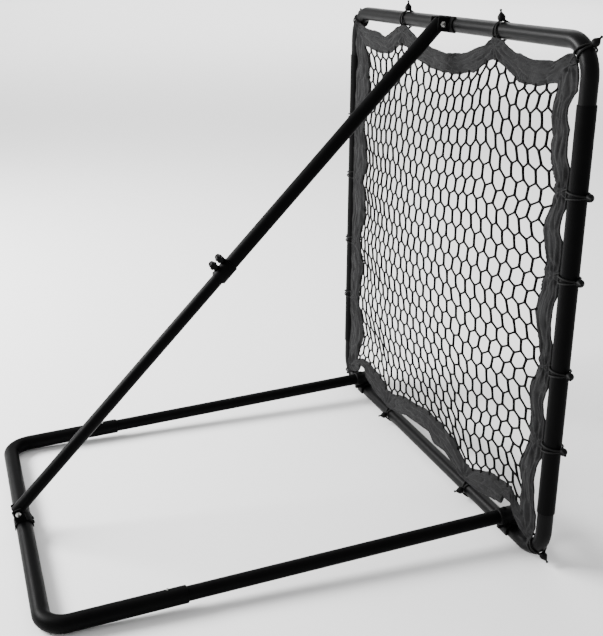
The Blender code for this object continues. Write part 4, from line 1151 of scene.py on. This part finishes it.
def net_twine():
    """Black twine: a slanting lay, matt fibres, faint dusty tops."""
    twine, tree, link, shader, place = new_finish("black_twine")
    lay = node(tree, "ShaderNodeTexWave", {"Scale": 260.0, "Distortion": 1.0, "Detail": 2.0},
               bands_direction="DIAGONAL")
    fibre = node(tree, "ShaderNodeTexNoise", {"Scale": 1800.0, "Detail": 3.0})
    dust = node(tree, "ShaderNodeTexNoise", {"Scale": 60.0, "Detail": 4.0})
    for texture in (lay, fibre, dust):
        link(place.outputs["Object"], texture.inputs["Vector"])
    tint = node(tree, "ShaderNodeValToRGB")
    tint.color_ramp.elements[0].color = (0.0010, 0.0010, 0.0010, 1.0)
    tint.color_ramp.elements[1].color = (0.0036, 0.0036, 0.0036, 1.0)
    link(dust.outputs["Fac"], tint.inputs["Fac"])
    link(tint.outputs["Color"], shader.inputs["Base Color"])
    height = node(tree, "ShaderNodeMath", operation="ADD")
    link(lay.outputs["Fac"], height.inputs[0])
    link(fibre.outputs["Fac"], height.inputs[1])
    raise_surface(tree, height.outputs["Value"], 0.5, 0.0003)
    shader.inputs["Roughness"].default_value = 0.80
    shader.inputs["Specular IOR Level"].default_value = 0.05
    return twine


twine = net_twine()


def net_point(across_share, up_share):
    """A point of the net's surface from shares of its width and height; the band's scallops fade inwards."""
    tuck = 0.005
    corner = left_inner[-1][0] / 1000 - half_frame
    x = corner * (2 * across_share - 1)
    z = half_frame + corner * (2 * up_share - 1)
    low, high, left, right = (
        edge_depth(band_edges[side][1], place) - (half_frame - corner)
        for side, place in (("bottom", x), ("top", x), ("left", z), ("right", z)))
    spread = 1 + tuck / corner
    flat_x = x * spread + left * (1 - across_share) ** 3 - right * across_share ** 3
    flat_z = half_frame + (z - half_frame) * spread + low * (1 - up_share) ** 3 - high * up_share ** 3
    bulge = net_bulge * 16 * across_share * (1 - across_share) * up_share * (1 - up_share)
    return Vector((flat_x, band_rear - 0.003 + bulge, flat_z))


def net_strands():
    """The net's graph on a unit square: knots, and strands with whether they stand upright."""
    width = 1 / net_columns
    height = 1 / net_rows
    slant = height * 0.31
    upright = (height - slant) / 2
    knots = {}
    strands = {}

    def knot(x, y):
        key = (round(x / (width / 2)), round(y * 100000))
        knots.setdefault(key, (min(max(x, 0.0), 1.0), min(max(y, 0.0), 1.0)))
        return key

    for row in range(-1, net_rows + 2):
        shift = 0.5 * (row % 2)
        for column in range(-1, net_columns + 2):
            x = (column + shift) * width
            y = row * height
            corners = [(x + width / 2, y - upright), (x + width / 2, y + upright), (x, y + upright + slant),
                       (x - width / 2, y + upright), (x - width / 2, y - upright), (x, y - upright - slant)]
            for index, corner in enumerate(corners):
                other = corners[index - 1]
                piece = clip_strand(other, corner)
                if piece:
                    ends = tuple(sorted((knot(*piece[0]), knot(*piece[1]))))
                    strands[ends] = abs(other[0] - corner[0]) < width / 4
    return knots, strands


def clip_strand(start, stop):
    """The part of a strand inside the unit square, or None."""
    low, high = 0.0, 1.0
    for axis in (0, 1):
        change = stop[axis] - start[axis]
        if abs(change) < 1e-9:
            if not 0.0 < start[axis] < 1.0:
                return None
            continue
        first, last = sorted(((0.0 - start[axis]) / change, (1.0 - start[axis]) / change))
        low, high = max(low, first), min(high, last)
    if high - low < 0.02:
        return None
    return tuple(tuple(start[axis] + (stop[axis] - start[axis]) * share for axis in (0, 1))
                 for share in (low, high))


def twine_net():
    chance = random.Random(7)
    knots, strands = net_strands()
    places = {}
    for key, (across_share, up_share) in knots.items():
        spot = net_point(across_share, up_share)
        inside = 0.0 < across_share < 1.0 and 0.0 < up_share < 1.0
        if inside:
            spot += Vector([chance.uniform(-0.0011, 0.0011) for _ in range(3)])
        places[key] = (spot, inside)
    work = bmesh.new()
    sides = 8
    for (first, second), stands in strands.items():
        start, stop = places[first][0], places[second][0]
        ahead = (stop - start).normalized()
        side = ahead.cross(Vector((0, 1, 0))).normalized()
        rear = side.cross(ahead)
        radius = upright_radius if stands else slanting_radius
        sag = Vector((chance.uniform(-0.0007, 0.0007), chance.uniform(-0.0007, 0.0007), -0.0004))
        rings = []
        for step in range(4):
            share = step / 3
            centre = start.lerp(stop, share) + sag * (4 * share * (1 - share))
            waist = radius * (1.0 if step in (0, 3) else 0.90)
            ring = [work.verts.new(centre + (side * math.cos(angle) + rear * math.sin(angle)) * waist)
                    for angle in [2 * math.pi * corner / sides for corner in range(sides)]]
            rings.append(ring)
        bridge(work, rings, False)
        work.faces.new(rings[0])
        work.faces.new(rings[-1])
    for spot, inside in places.values():
        if inside:
            squeezed = Matrix.Translation(spot) @ Matrix.Diagonal((1.0, 0.85, 1.15, 1.0))
            bmesh.ops.create_icosphere(work, subdivisions=1, radius=knot_radius, matrix=squeezed)
    bmesh.ops.recalc_face_normals(work, faces=work.faces)
    net = to_object("twine_net", work, frame_plane, math.radians(180))
    fit(net, twine, "net_frame", "net_twine", "net")


twine_net()


# ---- Ball ties ----------------------------------------------------------------------------------
# Sixteen loops of 5 mm elastic cord, each with a moulded ball. The loop goes through the band's eyelet and
# round the tube, and is caught behind the ball, which sits outside the frame with its tail outwards.
cord_radius = 0.0025
ball_radius = 0.0094
tail_length = 0.010


def braided_cord():
    """Black elastic cord: a crossed braid over the rubber, slightly shiny."""
    cord, tree, link, shader, place = new_finish("black_elastic_cord")
    braid = node(tree, "ShaderNodeTexVoronoi", {"Scale": 900.0, "Randomness": 0.35})
    fuzz = node(tree, "ShaderNodeTexNoise", {"Scale": 2200.0, "Detail": 3.0})
    for texture in (braid, fuzz):
        link(place.outputs["Object"], texture.inputs["Vector"])
    tint = node(tree, "ShaderNodeValToRGB")
    tint.color_ramp.elements[0].color = (0.0012, 0.0012, 0.0012, 1.0)
    tint.color_ramp.elements[1].color = (0.0046, 0.0046, 0.0046, 1.0)
    link(fuzz.outputs["Fac"], tint.inputs["Fac"])
    link(tint.outputs["Color"], shader.inputs["Base Color"])
    raise_surface(tree, braid.outputs["Distance"], 0.6, 0.0003)
    shader.inputs["Roughness"].default_value = 0.62
    shader.inputs["Specular IOR Level"].default_value = 0.12
    return cord


cord_look = braided_cord()


def smooth_run(points, samples):
    """Points on a closed curve that passes smoothly through the given ones."""
    count = len(points)
    run = []
    for index in range(count):
        before, start, stop, after = (points[(index + step) % count] for step in (-1, 0, 1, 2))
        for step in range(samples):
            t = step / samples
            run.append(0.5 * ((2 * start) + (stop - before) * t
                              + (2 * before - 5 * start + 4 * stop - after) * t * t
                              + (3 * start - before - 3 * stop + after) * t ** 3))
    return run


def cord_run(tube_radius, ball):
    """The cord's route in (rear, out, along) axes: twice round the tube between the ball and the eyelet."""
    around = tube_radius + cord_radius + 0.0003
    eyelet = Vector((band_rear, -tie_tip, 0.0))
    ball_angle = math.atan2(ball.x, ball.y)
    angles = [0.40, 0.85, 1.30, 1.75, 2.20, 2.62]
    points = []
    for side in (1, -1):
        for way, start, stop in ((1, 0.0022, 0.0100), (-1, 0.0052, 0.0030)):
            steps = list(enumerate(angles)) if way == 1 else list(enumerate(angles))[::-1]
            for number, angle in steps:
                along = side * (start + (stop - start) * number / (len(angles) - 1))
                theta = ball_angle * (1 - angle / math.pi) + way * angle
                points.append(Vector((math.sin(theta) * around, math.cos(theta) * around, along)))
            points.append(eyelet + Vector((0.0, 0.0, side * 0.0022)) if way == 1 else ball * 0.97)
    return smooth_run(points, 5)


def ball_profile():
    """A moulded ball, drawn out into a neck that ends in the cord's crimped bead."""
    profile = [(0.0, -ball_radius + 0.0004), (0.0034, -ball_radius + 0.0008)]
    for step in range(4, 13):
        angle = math.pi * step / 18
        profile.append((ball_radius * math.sin(angle), -ball_radius * math.cos(angle)))
    end = ball_radius + tail_length
    profile += [(ball_radius * 0.62, ball_radius * 0.86), (ball_radius * 0.47, ball_radius * 1.05),
                (ball_radius * 0.33, ball_radius * 1.25), (0.0021, end - 0.0060), (0.0019, end - 0.0047),
                (0.0027, end - 0.0040), (0.0031, end - 0.0026), (0.0030, end - 0.0012),
                (0.0020, end - 0.0002), (0.0, end)]
    return profile


def ball_tie(name, spot, way, tube_radius, ball_turn, tail_turn, cad_node):
    aside, tail_aside = math.radians(ball_turn), math.radians(tail_turn)
    ball = Vector((math.sin(aside), math.cos(aside), 0.0)) * (tube_radius + ball_radius + 0.0006)
    rear = Vector((0, 1, 0))
    out = Vector((way.x, 0, way.y))
    axes = Matrix((rear, out, rear.cross(out))).transposed().to_4x4()
    place = frame_plane @ Matrix.Translation((spot.x, 0, spot.y)) @ axes
    curve = bpy.data.curves.new(name, "CURVE")
    curve.dimensions = "3D"
    curve.bevel_depth = cord_radius * 0.86
    curve.bevel_resolution = 3
    spline = curve.splines.new("POLY")
    run = cord_run(tube_radius, ball)
    spline.points.add(len(run) - 1)
    floor_reach = 0.0212
    for point, at in zip(spline.points, run):
        if way.x == 0 and way.y < 0:
            at.y = min(at.y, floor_reach)
        point.co = (*at, 1.0)
    spline.use_cyclic_u = True
    source = bpy.data.objects.new(name, curve)
    bpy.context.scene.collection.objects.link(source)
    bpy.context.view_layer.update()
    mesh = bpy.data.meshes.new_from_object(source.evaluated_get(bpy.context.evaluated_depsgraph_get()))
    bpy.data.objects.remove(source, do_unlink=True)
    mesh.shade_smooth()
    loop = bpy.data.objects.new(f"{name}_cord", mesh)
    bpy.context.scene.collection.objects.link(loop)
    loop.matrix_world = place
    fit(loop, cord_look, "net_frame", "elastic_cord", cad_node)
    tail = Vector((math.sin(tail_aside), math.cos(tail_aside), 0.0))
    outward = tail.to_track_quat("Z", "Y").to_matrix().to_4x4()
    bead = turned_piece(f"{name}_ball", ball_profile(), place @ Matrix.Translation(ball) @ outward, 32)
    fit(bead, nylon, "net_frame", "elastic_cord")
    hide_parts(cad_node)


def ball_ties():
    for name, spot, way, tube_radius, ball_turn, tail_turn in ties:
        cad_node = f"{name}_loop"
        if name[-1].isdigit():
            side_name, number = name.split("_")
            cad_node = f"{side_name}_loop_{number}"
        ball_tie(f"{name}_tie", spot, way, tube_radius, ball_turn, tail_turn, cad_node)


ball_ties()
